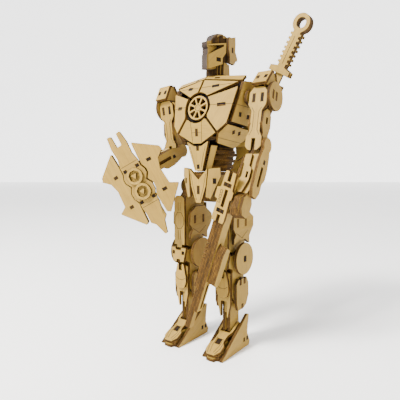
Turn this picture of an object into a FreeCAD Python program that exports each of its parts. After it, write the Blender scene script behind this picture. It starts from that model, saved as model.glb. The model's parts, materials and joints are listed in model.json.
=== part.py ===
import FreeCAD, Part
import math
import os
from FreeCAD import Placement, Rotation, Vector

# Jointed plywood robot figure that stands on its feet: helmet, armoured chest, arms, legs,
# a long gun in the left hand, a shield on the right hand and a sword sheathed on the back.
# It faces -Y, its left hand is at +X and +Z is up. Lengths are millimetres, angles degrees.

PLY = 3.0             # thickness of the plywood sheet that every plate is cut from
SLIP = 0.05           # radial clearance of a turning pin in its hole
PLAY = 0.3            # gap between plates that pass each other
SEAM = 0.95           # what each armour panel stands back from the shared edge line
TAB_FIT = 0.04        # clearance of a tab in its slot
TAB_SINK = 0.25       # how far a tab end lies below the face around it
SCORE_WIDTH = 0.5     # engraved line
SCORE_DEPTH = 0.3

LEG_X = 27.0          # distance of a leg's centre from the middle plane
HIP = Vector(0, -12, 165)
KNEE = Vector(0, -15, 94)
ANKLE = Vector(0, -17, 13.5)
WAIST = Vector(0, -12, 180)
NECK = Vector(0, -4, 269)
ARM_X = 58.0          # distance of a hanging arm's centre from the middle plane
SHOULDER = Vector(0, -11, 251)
RAISE_X = 51.8        # where the pin that lets an arm lift sideways stands
ELBOW_Z = 203.0
LEFT_LEAN = 0.0       # rest pose: how far an arm leans in towards the body
RIGHT_LEAN = 4.0
LEFT_SWING = 12.0     # rest pose: upper arm forward
LEFT_BEND = 15.0      # rest pose: elbow
RIGHT_SWING = -4.0
RIGHT_BEND = 72.0

AXLE_R = 3.0
PIN_R = 2.0
WAIST_PIN_R = 4.0
NECK_PIN_R = 4.0

NODES = {}            # node name -> its solids
BODIES = {}           # rigid body -> its node names
JOINTS = []           # (name, kind, parent, child, point, axis, low, high)


# ---------------------------------------------------------------- helpers

def to_space(axis, level, point):
    """A point (a, b) of a plate whose normal is the given axis, at that level."""
    a, b = point
    if axis == "x":
        return Vector(level, a, b)
    if axis == "y":
        return Vector(a, level, b)
    return Vector(a, b, level)


def direction(axis):
    return {"x": Vector(1, 0, 0), "y": Vector(0, 1, 0), "z": Vector(0, 0, 1)}[axis]


def outline_wire(corners, radius):
    """Closed wire through the corners, each rounded as far as its edges allow."""
    count = len(corners)
    stops = []
    for i, corner in enumerate(corners):
        back = corners[i - 1] - corner
        ahead = corners[(i + 1) % count] - corner
        half = back.getAngle(ahead) / 2
        reach = min(radius / math.tan(half), 0.45 * back.Length, 0.45 * ahead.Length)
        back.normalize()
        ahead.normalize()
        middle = (back + ahead).normalize()
        fillet = reach * math.tan(half)
        crown = corner + middle * (fillet / math.sin(half) - fillet)
        stops.append((corner + back * reach, crown, corner + ahead * reach))
    edges = []
    for i, (start, crown, end) in enumerate(stops):
        edges.append(Part.Arc(start, crown, end).toShape())
        edges.append(Part.LineSegment(end, stops[(i + 1) % count][0]).toShape())
    return Part.Wire(edges)


def plate(axis, level, outline, thick=PLY, radius=0.0):
    """A flat plate: its outline extruded along +axis from the level."""
    corners = [to_space(axis, level, point) for point in outline]
    if radius > 0:
        wire = outline_wire(corners, radius)
    else:
        wire = Part.makePolygon(corners + [corners[0]])
    return Part.Face(wire).extrude(direction(axis) * thick)


def box(x0, x1, y0, y1, z0, z1):
    return Part.makeBox(x1 - x0, y1 - y0, z1 - z0, Vector(x0, y0, z0))


def rod(axis, low, high, centre, radius):
    """A round rod along the axis from low to high about the centre."""
    start = Vector(centre)
    setattr(start, axis, low)
    return Part.makeCylinder(radius, high - low, start, direction(axis))


def rect(a, b, wide, tall, turn=0.0):
    """Corners of a rectangle about (a, b), turned by some degrees."""
    c = math.cos(math.radians(turn))
    s = math.sin(math.radians(turn))
    signs = ((-1, -1), (1, -1), (1, 1), (-1, 1))
    local = [(i * wide / 2, j * tall / 2) for i, j in signs]
    return [(a + u * c - v * s, b + u * s + v * c) for u, v in local]


def regular(a, b, radius, sides, start=0.0):
    """Corners of a regular polygon about (a, b)."""
    step = 2 * math.pi / sides
    first = math.radians(start)
    return [(a + radius * math.cos(first + i * step), b + radius * math.sin(first + i * step))
            for i in range(sides)]


def pierced(shape, *cutters):
    for cutter in cutters:
        shape = shape.cut(cutter)
    return shape


def joined(shape, *more):
    for other in more:
        shape = shape.fuse(other)
    return shape.removeSplitter()


def slot(axis, level, centre, wide, tall, turn=0.0, thick=PLY):
    """The cutter of a slot through a plate of the given level and thickness."""
    margin = 1.0
    corners = rect(centre[0], centre[1], wide + 2 * TAB_FIT, tall + 2 * TAB_FIT, turn)
    return plate(axis, level - margin, corners, thick + 2 * margin)


def score(shape, axis, face, inward, path):
    """Engrave a path of straight lines into the face at this level."""
    level = face if inward > 0 else face - SCORE_DEPTH
    for start, end in zip(path, path[1:]):
        length = math.dist(start, end) + SCORE_WIDTH
        turn = math.degrees(math.atan2(end[1] - start[1], end[0] - start[0]))
        middle = ((start[0] + end[0]) / 2, (start[1] + end[1]) / 2)
        line = plate(axis, level, rect(middle[0], middle[1], length, SCORE_WIDTH, turn), SCORE_DEPTH)
        shape = shape.cut(line)
    return shape


def mirrored(shape):
    return shape.mirror(Vector(0, 0, 0), Vector(1, 0, 0))


def turned(point, axis, degrees):
    """The placement that turns things about an axis through a point."""
    return Placement(Vector(0, 0, 0), Rotation(axis, degrees), point)


def placed(shape, placement):
    return shape.transformed(placement.toMatrix(), True)


def put(body, node, *shapes):
    """Give a body a node made of one or more separate solids."""
    solids = [solid for shape in shapes for solid in shape.Solids]
    NODES.setdefault(node, []).extend(solids)
    names = BODIES.setdefault(body, [])
    if node not in names:
        names.append(node)


def inset(points, gap):
    """A closed outline moved inwards by the gap on every edge."""
    area = sum(a[0] * b[1] - b[0] * a[1] for a, b in zip(points, points[1:] + points[:1]))
    side = 1 if area > 0 else -1
    lines = []
    for a, b in zip(points, points[1:] + points[:1]):
        length = math.dist(a, b)
        nx = -(b[1] - a[1]) / length * side
        ny = (b[0] - a[0]) / length * side
        lines.append((nx, ny, nx * a[0] + ny * a[1] + gap))
    result = []
    for (a1, b1, c1), (a2, b2, c2) in zip(lines[-1:] + lines[:-1], lines):
        det = a1 * b2 - a2 * b1
        result.append(((c1 * b2 - c2 * b1) / det, (a1 * c2 - a2 * c1) / det))
    return result


# ---------------------------------------------------------------- armour panels

class Facet:
    """A slanted armour panel, known by the corners of its outer face."""

    def __init__(self, corners, inside):
        self.corners = [Vector(*corner) for corner in corners]
        base = self.corners[0]
        normal = (self.corners[1] - base).cross(self.corners[2] - base)
        if normal.dot(Vector(*inside) - base) > 0:
            normal = -normal
        across = Vector(0, 0, 1).cross(normal)
        up = normal.cross(across)
        self.place = Placement(base, Rotation(across, up, normal, "ZXY"))
        self.inverse = self.place.inverse()

    def local(self, point):
        flat = self.inverse.multVec(Vector(*point))
        return (flat.x, flat.y)

    def panel(self, slots=(), scores=(), gap=SEAM):
        """The plate itself, in place. Slots are (point, wide, tall, turn)."""
        outline = inset([self.local(corner) for corner in self.corners], gap)
        shape = plate("z", -PLY, outline, PLY, 0.4)
        for point, wide, tall, turn in slots:
            shape = shape.cut(slot("z", -PLY, self.local(point), wide, tall, turn))
        for path in scores:
            shape = score(shape, "z", 0, -1, [self.local(point) for point in path])
        return placed(shape, self.place)

    def tabs(self, slots, reach=4.0):
        """The tab ends that fill the slots, long enough to meet what stands behind."""
        made = []
        for point, wide, tall, turn in slots:
            centre = self.local(point)
            corners = rect(centre[0], centre[1], wide, tall, turn)
            made.append(placed(plate("z", -PLY - reach, corners, PLY + reach - TAB_SINK), self.place))
        return made

    def behind(self, gap=0.1):
        """All the space on the inner side of the panel."""
        size = 400.0
        block = Part.makeBox(size, size, size, Vector(-size / 2, -size / 2, -size - PLY - gap))
        return placed(block, self.place)


CHEST_INSIDE = (0, 0, 240)
SIDE_CORNERS = [(24.6, -39.2, 217.2), (33.4, -34.0, 226.0), (40.3, -23.4, 262.5),
                (10.4, -35.8, 252.4), (12.6, -39.6, 232.0)]
SIDE_SLOTS = [((25.6, -32.6, 244.2), 8.0, 3.0, 4)]
UPPER_CORNERS = [(0, -35.6, 256.9), (10.4, -35.7, 252.9), (40.6, -19.6, 266.9), (0, -25.2, 271.4)]
UPPER_SLOTS = [((15.5, -27.8, 263.5), 7.0, 3.0, 8)]
COLLAR_CORNERS = [(0, -25.0, 271.9), (40.9, -19.4, 267.4), (41.4, -11.5, 273.6), (0, -19.3, 277.0)]
COLLAR_SLOTS = [((12.5, -21.0, 273.4), 5.0, 2.6, -4)]
CENTRE_CORNERS = [(-4.9, -37.4, 206.7), (4.9, -37.4, 206.7), (24.3, -38.3, 217.2),
                  (12.2, -39.5, 232.2), (-12.2, -39.5, 232.2), (-24.3, -38.3, 217.2)]
CENTRE_SLOTS = [((0, -38.3, 218.5), 3.0, 7.0, 0)]
FLANK_TOP_CORNERS = [(34.8, -30.5, 227.0), (37.4, 5.0, 223.4), (44.8, 5.0, 270.0), (42.2, -19.0, 267.0)]
FLANK_TOP_SLOTS = [((37.2, -17.5, 235.3), 4.0, 4.2, 0), ((38.2, -4.5, 234.0), 4.0, 4.2, 0)]
FLANK_LOW_CORNERS = [(25.2, -37.8, 216.6), (20.4, -33.0, 207.0), (23.2, -6.0, 202.6),
                     (30.2, 3.0, 211.2), (36.6, 2.0, 222.2), (33.2, -31.5, 225.6)]
FLANK_LOW_SLOTS = [((31.0, -18.5, 218.2), 3.2, 4.2, 20), ((32.0, -10.0, 217.6), 3.2, 4.2, 20)]

WHEEL_CENTRE = Vector(0, -37.6, 242.8)
WHEEL_R = 12.2
WHEEL_TILT = 10.0
WHEEL_POCKET_R = 15.2
WHEEL_SINK = 1.2        # the wheel lies this far below the armour


def wheel_tool(radius, front, back):
    """A cylinder on the vent wheel's axis, front and back measured from its face."""
    axis = Vector(0, -1, 0)
    lean = turned(WHEEL_CENTRE, Vector(1, 0, 0), -WHEEL_TILT)
    cylinder = Part.makeCylinder(radius, front - back, WHEEL_CENTRE + axis * back, axis)
    return placed(cylinder, lean)


def vent_wheel():
    """Round vent with eight rounded wedge openings and a grooved hub."""
    lean = turned(WHEEL_CENTRE, Vector(1, 0, 0), -WHEEL_TILT)
    disc = Part.makeCylinder(WHEEL_R, PLY, WHEEL_CENTRE, Vector(0, 1, 0))
    for turn in range(0, 360, 45):
        wedge = [(-0.8, 4.4), (0.8, 4.4), (2.9, 10.0), (-2.9, 10.0)]
        cutter = plate("y", -1, wedge, PLY + 2, 0.5)
        cutter.rotate(Vector(0, 0, 0), Vector(0, 1, 0), turn)
        cutter.translate(WHEEL_CENTRE)
        disc = disc.cut(cutter)
    hub = Part.makeCylinder(3.4, SCORE_DEPTH, WHEEL_CENTRE, Vector(0, 1, 0))
    ring = hub.cut(Part.makeCylinder(3.4 - SCORE_WIDTH, SCORE_DEPTH, WHEEL_CENTRE, Vector(0, 1, 0)))
    disc = disc.cut(ring)
    disc.translate(Vector(0, WHEEL_SINK, 0))
    return placed(disc, lean)


def chest():
    """Faceted breast armour on ribs, with flanks, collar, back and the vent wheel."""
    pocket = wheel_tool(WHEEL_POCKET_R, 10, -10)
    facets = {"side": Facet(SIDE_CORNERS, CHEST_INSIDE), "upper": Facet(UPPER_CORNERS, CHEST_INSIDE),
              "collar": Facet(COLLAR_CORNERS, CHEST_INSIDE), "centre": Facet(CENTRE_CORNERS, CHEST_INSIDE),
              "flank_top": Facet(FLANK_TOP_CORNERS, CHEST_INSIDE),
              "flank_low": Facet(FLANK_LOW_CORNERS, CHEST_INSIDE)}
    side = facets["side"].panel(SIDE_SLOTS, [[(12.5, -36.9, 244.0), (37.6, -28.6, 244.6)]]).cut(pocket)
    upper = facets["upper"].panel(UPPER_SLOTS, [[(1.5, -31.0, 262.2), (32.0, -23.0, 264.8)]]).cut(pocket)
    collar = facets["collar"].panel(COLLAR_SLOTS, gap=0.5)
    flank = facets["flank_top"].panel(FLANK_TOP_SLOTS, [[(38.6, -24, 244), (40.0, 3, 243)]])
    flank = flank.cut(rod("x", 30, 60, SHOULDER, AXLE_R + 1.2)).cut(collar)
    for name, shape in (("side", side), ("upper", upper), ("collar", collar)):
        node = "collar_plates" if name == "collar" else "chest_%s_panels" % name
        put("torso", node, shape, mirrored(shape))
    lines = [[(-7, -38.6, 230), (-5.5, -38.0, 209)], [(7, -38.6, 230), (5.5, -38.0, 209)],
             [(-6, -38.3, 218.5), (6, -38.3, 218.5)]]
    centre = facets["centre"].panel(CENTRE_SLOTS, lines).cut(pocket)
    put("torso", "chest_centre_panel", centre)
    put("torso", "chest_vent_wheel", vent_wheel())
    put("torso", "flank_panels", flank, mirrored(flank))
    low = facets["flank_low"].panel(FLANK_LOW_SLOTS, [[(24.0, -34.0, 212.5), (27.6, -1.0, 209.0)]])
    put("torso", "flank_panels", low, mirrored(low))
    chest_frame(facets)


def chest_frame(facets):
    """Level ribs, a keel, bearing plates and the back, all inside the armour."""
    room = None
    for name, facet in facets.items():
        space = facet.behind()
        room = space if room is None else room.common(space)
        if name != "centre":
            room = room.common(mirrored(space))
    keel = plate("x", -PLY / 2, [(-36, 206), (-36, 224), (-29, 232), (-29, 258), (-14, 265.8),
                                 (10.8, 265.8), (14, 258), (14, 208)])
    keel = keel.common(room).cut(rod("z", 240, 275, NECK, NECK_PIN_R + 1))
    keel = keel.cut(box(-3, 3, -40, 20, 200, 206.2))
    keel_tabs = facets["centre"].tabs(CENTRE_SLOTS, 5.0)
    spine = joined(keel, *keel_tabs)
    backing = wheel_tool(15.0, -PLY - 2.0, -PLY - 3.5)
    wheel_peg = wheel_tool(2.4, -PLY - WHEEL_SINK - 0.02, -10)
    ribs = []
    for level, front in ((211.0, -36), (226.5, -32), (242.7, -27), (262.6, -40)):
        outline = [(-46, front), (46, front), (46, 4), (30, 14), (-30, 14), (-46, 4)]
        rib = plate("z", level, outline).common(room)
        rib = rib.cut(box(-PLY / 2 - TAB_FIT, PLY / 2 + TAB_FIT, -45, 20, level - 1, level + PLY + 1))
        ribs += [solid for solid in rib.Solids]
    tabs = facets["side"].tabs(SIDE_SLOTS, 3.0) + facets["upper"].tabs(UPPER_SLOTS, 3.0)
    tabs += facets["flank_top"].tabs(FLANK_TOP_SLOTS, 0.0) + facets["flank_low"].tabs(FLANK_LOW_SLOTS, 0.0)
    tabs += facets["collar"].tabs(COLLAR_SLOTS, 0.0)
    ribs = [rib.cut(rod("z", 240, 275, NECK, NECK_PIN_R + SLIP)) for rib in ribs]
    bearings = bearing_plates(room)
    made = []
    for rib in ribs:
        for tab in tabs + [mirrored(tab) for tab in tabs]:
            if rib.common(tab).Volume > 0.5:
                rib = rib.fuse(tab).removeSplitter()
        made.append(rib)
    loose = [tab for tab in tabs if not any(rib.common(tab).Volume > 0.5 for rib in made)]
    put("torso", "chest_frame", *made)
    put("torso", "chest_frame", spine.cut(wheel_peg))
    put("torso", "chest_frame", wheel_peg, backing.cut(spine).cut(wheel_peg))
    put("torso", "chest_frame", *loose, *[mirrored(tab) for tab in loose])
    put("torso", "chest_frame", *bearings)


def bearing_plates(room):
    """Four upright plates between two ribs that the shoulder axles turn in."""
    outline = [(-24, 245.8), (4, 245.8), (4, 262.5), (-24, 262.5)]
    made = []
    for level in (20.0, 33.0):
        bearing = plate("x", level, outline).common(room)
        bearing = bearing.cut(rod("x", 10, 60, SHOULDER, AXLE_R + SLIP))
        made += [bearing, mirrored(bearing)]
    return made


def back():
    """Back plate, slanted side backs, top yoke and the sword's scabbard."""
    outline = [(-24, 206), (-30, 222), (-34, 258), (-30, 271), (30, 271), (34, 258), (30, 222), (24, 206)]
    shape = plate("y", 14, outline, PLY, 1.5)
    for x, z in ((-20, 244.2), (20, 244.2), (-18, 228), (18, 228)):
        shape = shape.cut(slot("y", 14, (x, z), 7, 3))
    octagon = [(x * 17.5, 238 + z * 17.5) for x, z in regular(0, 0, 1, 8, 22.5)]
    shape = score(shape, "y", 17, -1, octagon + octagon[:1])
    put("torso", "back_plates", shape)
    yoke = [(-37, -8), (-12, -17.0), (12, -17.0), (37, -8), (40, 4), (30, 14), (-30, 14), (-40, 4)]
    top = plate("z", 265.9, yoke, PLY, 1.0).cut(rod("z", 260, 275, NECK, NECK_PIN_R + SLIP))
    put("torso", "back_plates", top.cut(Facet(UPPER_CORNERS, CHEST_INSIDE).panel(gap=-0.3)))


# ---------------------------------------------------------------- waist and pelvis

def abdomen():
    """Tapered belly plate with folded sides, over a stack of waist plies."""
    outline = [(-4.5, 205.6), (4.5, 205.6), (13.4, 210.4), (4.8, 181.0), (-4.8, 181.0), (-13.4, 210.4)]
    lean = turned(Vector(0, -35.2, 195), Vector(1, 0, 0), 3.0)
    belly = plate("y", -36.4, outline, PLY, 0.4)
    squares = ((0, 203.1), (0, 185.1))
    for centre in squares:
        belly = belly.cut(slot("y", -36.4, centre, 3, 4))
    for side in (-1, 1):
        path = [(side * 9.6, 205), (side * 5.4, 192), (side * 3.4, 183)]
        belly = score(belly, "y", -36.4, 1, path)
    tabs = [plate("y", -36.4 + TAB_SINK, rect(0, z, 3, 4), PLY - TAB_SINK) for x, z in squares]
    put("torso", "abdomen_plates", placed(belly, lean))
    fold = Facet([(14.4, -34.0, 206.0), (18.8, -28.78, 205.7), (10.5, -28.05, 181.2), (6.2, -32.4, 181.0)],
                 (0, -15, 195))
    side = fold.panel(gap=0.1)
    put("torso", "abdomen_plates", side, mirrored(side))
    room = fold.behind(0.0)
    room = room.common(mirrored(room)).cut(placed(box(-20, 20, -50, -36.4 + PLY, 170, 220), lean))
    put("torso", "abdomen_plates", *[placed(tab, lean) for tab in tabs])
    halves = (17.0, 21.0, 19.5, 23.0, 21.0, 25.0, 23.0)
    plies = []
    for i, half in enumerate(halves):
        low = WAIST.z + PLAY + i * PLY
        corner = [(-half, -16), (-half * 0.55, -21), (half * 0.55, -21), (half, -16), (half, -4),
                  (half * 0.6, 7 - i % 2), (-half * 0.6, 7 - i % 2), (-half, -4)]
        ply = plate("z", low, corner, PLY, 0.8)
        if i in (1, 4, 6):
            ply = joined(ply, plate("z", low, [(-20, -38), (20, -38), (20, -12), (-20, -12)]).common(room))
        plies.append(ply.cut(rod("z", 170, 210, WAIST, WAIST_PIN_R + SLIP)))
    put("torso", "waist_plies", *plies)
    neck_low = WAIST.z + PLAY + len(halves) * PLY
    pillar = [(-15, -20), (15, -20), (15, 6), (-15, 6)]
    post = plate("z", neck_low, pillar, 211.0 - neck_low).cut(rod("z", 170, 210, WAIST, WAIST_PIN_R + 0.5))
    keel_room = box(-PLY / 2 - TAB_FIT, PLY / 2 + TAB_FIT, -40, 20, 206, 212)
    put("torso", "waist_plies", post.cut(keel_room))


def pelvis():
    """Pelvis plies on the hip axle, crotch plate, skirts and the waist pin."""
    outline = [(-32.9, 177), (-32.9, 163), (-26, 150), (-9, 148), (4, 153), (7, 177)]
    core = []
    for i in range(5):
        ply = plate("x", -7.5 + i * PLY, outline, PLY)
        core.append(pierced(ply, rod("x", -40, 40, HIP, AXLE_R + 0.02),
                            rod("z", 168, 190, WAIST, WAIST_PIN_R + 0.02)))
    put("pelvis", "pelvis_plies", *core)
    cheek = plate("x", 14.2, [(-27, 177), (-27, 160), (-20, 151), (-4, 151), (5, 158), (5, 177)], PLY, 1.0)
    cheek = cheek.cut(rod("x", -40, 40, HIP, AXLE_R + 0.02))
    put("pelvis", "pelvis_plies", cheek, mirrored(cheek))
    top = plate("z", 177, [(-18, -29), (-12, -32.8), (12, -32.8), (18, -29), (18, 5), (12, 8), (-12, 8),
                           (-18, 5)], PLY, 1.0)
    put("pelvis", "pelvis_plies", top.cut(rod("z", 168, 190, WAIST, WAIST_PIN_R + 0.02)))
    put("pelvis", "pelvis_pins", rod("z", 169, 203, WAIST, WAIST_PIN_R))
    axle = rod("x", -36.6, 36.6, HIP, AXLE_R)
    put("pelvis", "pelvis_pins", axle)
    cap = rod("x", 33.4, 36.4, HIP, 8.5).cut(rod("x", 30, 40, HIP, AXLE_R + 0.02))
    spacer = rod("x", 17.2, 22.0, HIP, 5.5).cut(rod("x", 10, 40, HIP, AXLE_R + 0.02))
    put("pelvis", "hip_caps", cap, mirrored(cap))
    put("pelvis", "hip_caps", spacer, mirrored(spacer))
    crotch = plate("y", -36, [(-11.6, 184), (0, 172.4), (11.6, 184), (9.4, 166), (3.2, 149), (-3.2, 149),
                              (-9.4, 166)], PLY, 0.5)
    crotch = crotch.cut(slot("y", -36, (0, 162), 3, 8))
    for side in (-1, 1):
        crotch = score(crotch, "y", -36, 1, [(side * 9.4, 178), (side * 6.8, 166), (side * 2.2, 152)])
    put("pelvis", "crotch_plate", crotch)
    put("pelvis", "crotch_plate", plate("y", -36 + TAB_SINK, rect(0, 162, 3, 8), PLY - TAB_SINK))
    skirt_slots = [((18.0, -33.2, 171), 3.0, 5.0, 0)]
    skirt = Facet([(12.2, -36.0, 183.6), (23.2, -30.6, 184.6), (24.0, -30.2, 176.0), (14.5, -34.8, 153.0),
                   (9.4, -37.4, 155.0)], (0, 0, 170))
    shape = skirt.panel(skirt_slots, gap=0.3).cut(crotch)
    tabs = skirt.tabs(skirt_slots, 0.0)
    put("pelvis", "hip_skirts", shape, mirrored(shape))
    put("pelvis", "hip_skirts", *tabs, *[mirrored(tab) for tab in tabs])


# ---------------------------------------------------------------- head

HEAD_TURN = 5.5        # the head looks this far towards the figure's left


def put_head(node, *shapes):
    look = turned(Vector(NECK.x, NECK.y, 0), Vector(0, 0, 1), HEAD_TURN)
    put("head", node, *[placed(shape, look) for shape in shapes])


def head():
    """Plain robot helmet of upright plies with wedge eye slots, ear plates and a neck."""
    cheek = Facet([(3.2, -27.0, 305.2), (12.6, -6.5, 310.2), (12.6, -6.5, 300.3), (10.8, -10.4, 294.3),
                   (10.8, -10.4, 288.2), (3.2, -27.0, 280.9)], (0, 0, 300))
    eye = [(2.0, -29.6, 293.8), (2.0, -29.6, 302.6), (11.3, -9.3, 307.6), (11.3, -9.3, 306.2)]
    wedge = plate("z", -PLY - 1, [cheek.local(point) for point in eye], PLY + 2)
    tab_slots = [((8.6, -15.2, 292.2), 5.0, 3.6, 0)]
    face = cheek.panel(tab_slots, gap=0.05).cut(placed(wedge, cheek.place))
    put_head("cheek_plates", face, mirrored(face))
    room = cheek.behind(0.05)
    room = room.common(mirrored(room))
    plies = []
    for i in range(8):
        inner = abs(i - 3.5) * PLY - PLY / 2
        drop = 0.07 * inner ** 2
        outline = [(-24, 282), (-24, 306), (-21, 310), (-15, 316 - drop), (-9, 320 - drop), (-3, 321.4 - drop),
                   (4, 320.2 - drop), (10, 315.4 - drop), (10, 298), (6, 293), (-8, 291)]
        if inner < PLY / 2:
            outline[0:2] = [(-28.6, 280.6), (-28.6, 307.2)]
            outline[-1] = (-16, 283)
        ply = plate("x", -12 + i * PLY, outline, PLY, 0.6)
        if inner >= PLY / 2:
            ply = ply.common(room)
            band = [(-40, 287.5), (-40, 300.4), (-9.3, 307.6), (-9.3, 306.2)]
            ply = ply.cut(plate("x", -14 + i * PLY, band, 6).common(plate("x", -20, rect(-19.5, 299, 21, 22), 40)))
        plies.append(ply.cut(box(-20, 20, -60, -27.2, 294.8, 301.8)))
    tabs = cheek.tabs(tab_slots, 0.0)
    plies = [pierced(ply, face, mirrored(face)) for ply in plies]
    put_head("helmet_plies", *plies)
    ear = plate("x", 12.05, [(-5.6, 314), (-4.6, 316.2), (2, 316.8), (9, 319.8), (9.6, 312), (8.8, 305), (13.6, 298.4),
                             (13.2, 295.6), (10.4, 295.4), (6, 290.4), (-3.6, 290.2), (-3.6, 298), (-5.6, 303)],
                PLY, 0.8)
    ear = ear.cut(slot("x", 12.05, (2.4, 304.5), 3, 5))
    ear = ear.cut(cheek.panel(gap=-0.4))
    put_head("ear_plates", ear, mirrored(ear))
    plug = plate("x", 12.05, rect(2.4, 304.5, 3, 5), PLY - TAB_SINK)
    put_head("helmet_plies", plug, mirrored(plug), *tabs, *[mirrored(tab) for tab in tabs])
    neck = []
    for i in range(7):
        depth = (9.0, 10.5, 11.5, 11.5, 11.5, 10.5, 9.0)[i]
        side = [(-4 - depth + 4, 278.4), (-4 + depth, 278.4), (-4 + depth - 1, 290.9), (-4 - depth + 5, 290.9)]
        neck.append(plate("x", -10.5 + i * PLY, side, PLY).cut(rod("z", 270, 286, NECK, NECK_PIN_R + 0.02)))
    neck = [ply.cut(Part.makeCompound(plies + [face, mirrored(face)])) for ply in neck]
    put_head("neck", *neck)
    low = NECK.z + PLAY
    rings = []
    for i, radius in enumerate((9.0, 10.4, 9.4)):
        ring = rod("z", low + i * PLY, low + (i + 1) * PLY, NECK, radius)
        rings.append(ring.cut(rod("z", 260, 290, NECK, NECK_PIN_R + 0.02)))
    put_head("neck", *rings)
    put_head("neck", rod("z", 256, 285.8, NECK, NECK_PIN_R))


# ---------------------------------------------------------------- sword

SWORD_RING = Vector(83.7, 21.5, 322)
SWORD_LEAN = 29.1      # from upright, towards the figure's left
BLADE_PLY = 2.4        # the blade is sanded thinner than the sheet so that it slides
SWORD_PLACE = Placement(SWORD_RING, Rotation(Vector(0, 1, 0), SWORD_LEAN))


def sword():
    """Ring, toothed grip, guard and a blade, drawn along -Z from the ring's centre."""
    half = BLADE_PLY / 2
    grip = [(-4.2, -6)]
    for i in range(7):
        top = -10 - i * 4.6
        grip += [(-4.2, top), (-6.2, top), (-6.2, top - 2.4), (-4.2, top - 2.4)]
    grip += [(-4.2, -43), (-12, -45), (-12, -50), (12, -50), (12, -45), (4.2, -43)]
    for i in reversed(range(7)):
        top = -10 - i * 4.6
        grip += [(4.2, top - 2.4), (6.2, top - 2.4), (6.2, top), (4.2, top)]
    grip += [(4.2, -6)]
    ring = Vector(0, 0, 0)
    core = plate("y", -half, [(-4, -6), (-4, -44), (-4.6, -50), (-4.6, -162), (0, -172), (4.6, -162),
                              (4.6, -50), (4, -44), (4, -6)], BLADE_PLY)
    core = core.fuse(rod("y", -half, half, ring, 9.0)).cut(rod("y", -9, 9, ring, 4.8))
    put("sword", "sword_blade", placed(core.removeSplitter(), SWORD_PLACE))
    for name, low in (("front", -half - PLY), ("rear", half)):
        cheek = plate("y", low, grip, PLY).fuse(rod("y", low, low + PLY, ring, 9.0))
        cheek = cheek.cut(rod("y", -9, 9, ring, 4.8)).removeSplitter()
        face = low if name == "front" else low + PLY
        inward = 1 if name == "front" else -1
        cheek = score(cheek, "y", face, inward, [(0, -13), (0, -40)])
        put("sword", "sword_grip", placed(cheek, SWORD_PLACE))


def scabbard():
    """Flat sheath behind the back: base, two edge strips and a cover."""
    rear = -4.5
    outline = [(-9, -60), (9, -60), (9, -136), (0, -150), (-9, -136)]
    base = plate("y", rear, outline, PLY, 1.0)
    cover = plate("y", rear + 2 * PLY, outline, PLY, 1.0)
    for depth in (-76, -100, -124):
        cover = cover.cut(slot("y", rear + 2 * PLY, (0, depth), 3, 9))
    cover = score(cover, "y", rear + 3 * PLY, -1, [(-6, -64), (-6, -132), (0, -143), (6, -132), (6, -64)])
    left = plate("y", rear + PLY, [(-9, -60), (-5, -60), (-5, -136), (-9, -136)])
    right = plate("y", rear + PLY, [(5, -60), (9, -60), (9, -136), (5, -136)])
    put("torso", "scabbard", placed(base, SWORD_PLACE))
    put("torso", "scabbard", placed(cover, SWORD_PLACE))
    put("torso", "scabbard", placed(left, SWORD_PLACE), placed(right, SWORD_PLACE))


# ---------------------------------------------------------------- arms

def shoulder_parts():
    """Left shoulder hub: turning axle, hub discs and the tongue that the arm lifts on."""
    hub_in = 42.7
    axle = rod("x", 16.4, hub_in, SHOULDER, AXLE_R)
    collar = rod("x", 16.6, 19.6, SHOULDER, 5.0).cut(rod("x", 10, 50, SHOULDER, AXLE_R + 0.02))
    pin = Vector(RAISE_X, SHOULDER.y, SHOULDER.z)
    y0 = SHOULDER.y - PLY / 2
    tongue = box(hub_in, RAISE_X, y0, y0 + PLY, 245.4, 256.6).fuse(rod("y", y0, y0 + PLY, pin, 5.6))
    tongue = tongue.removeSplitter().cut(rod("y", -30, 30, pin, PIN_R + SLIP))
    disc = rod("x", hub_in, hub_in + PLY, SHOULDER, 8.0)
    disc = disc.cut(box(40, 50, y0 - 0.02, y0 + PLY + 0.02, 245.3, 256.7))
    return {"shoulder_axle": [axle], "shoulder_hub": [collar, disc], "shoulder_tongue": [tongue]}


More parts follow.
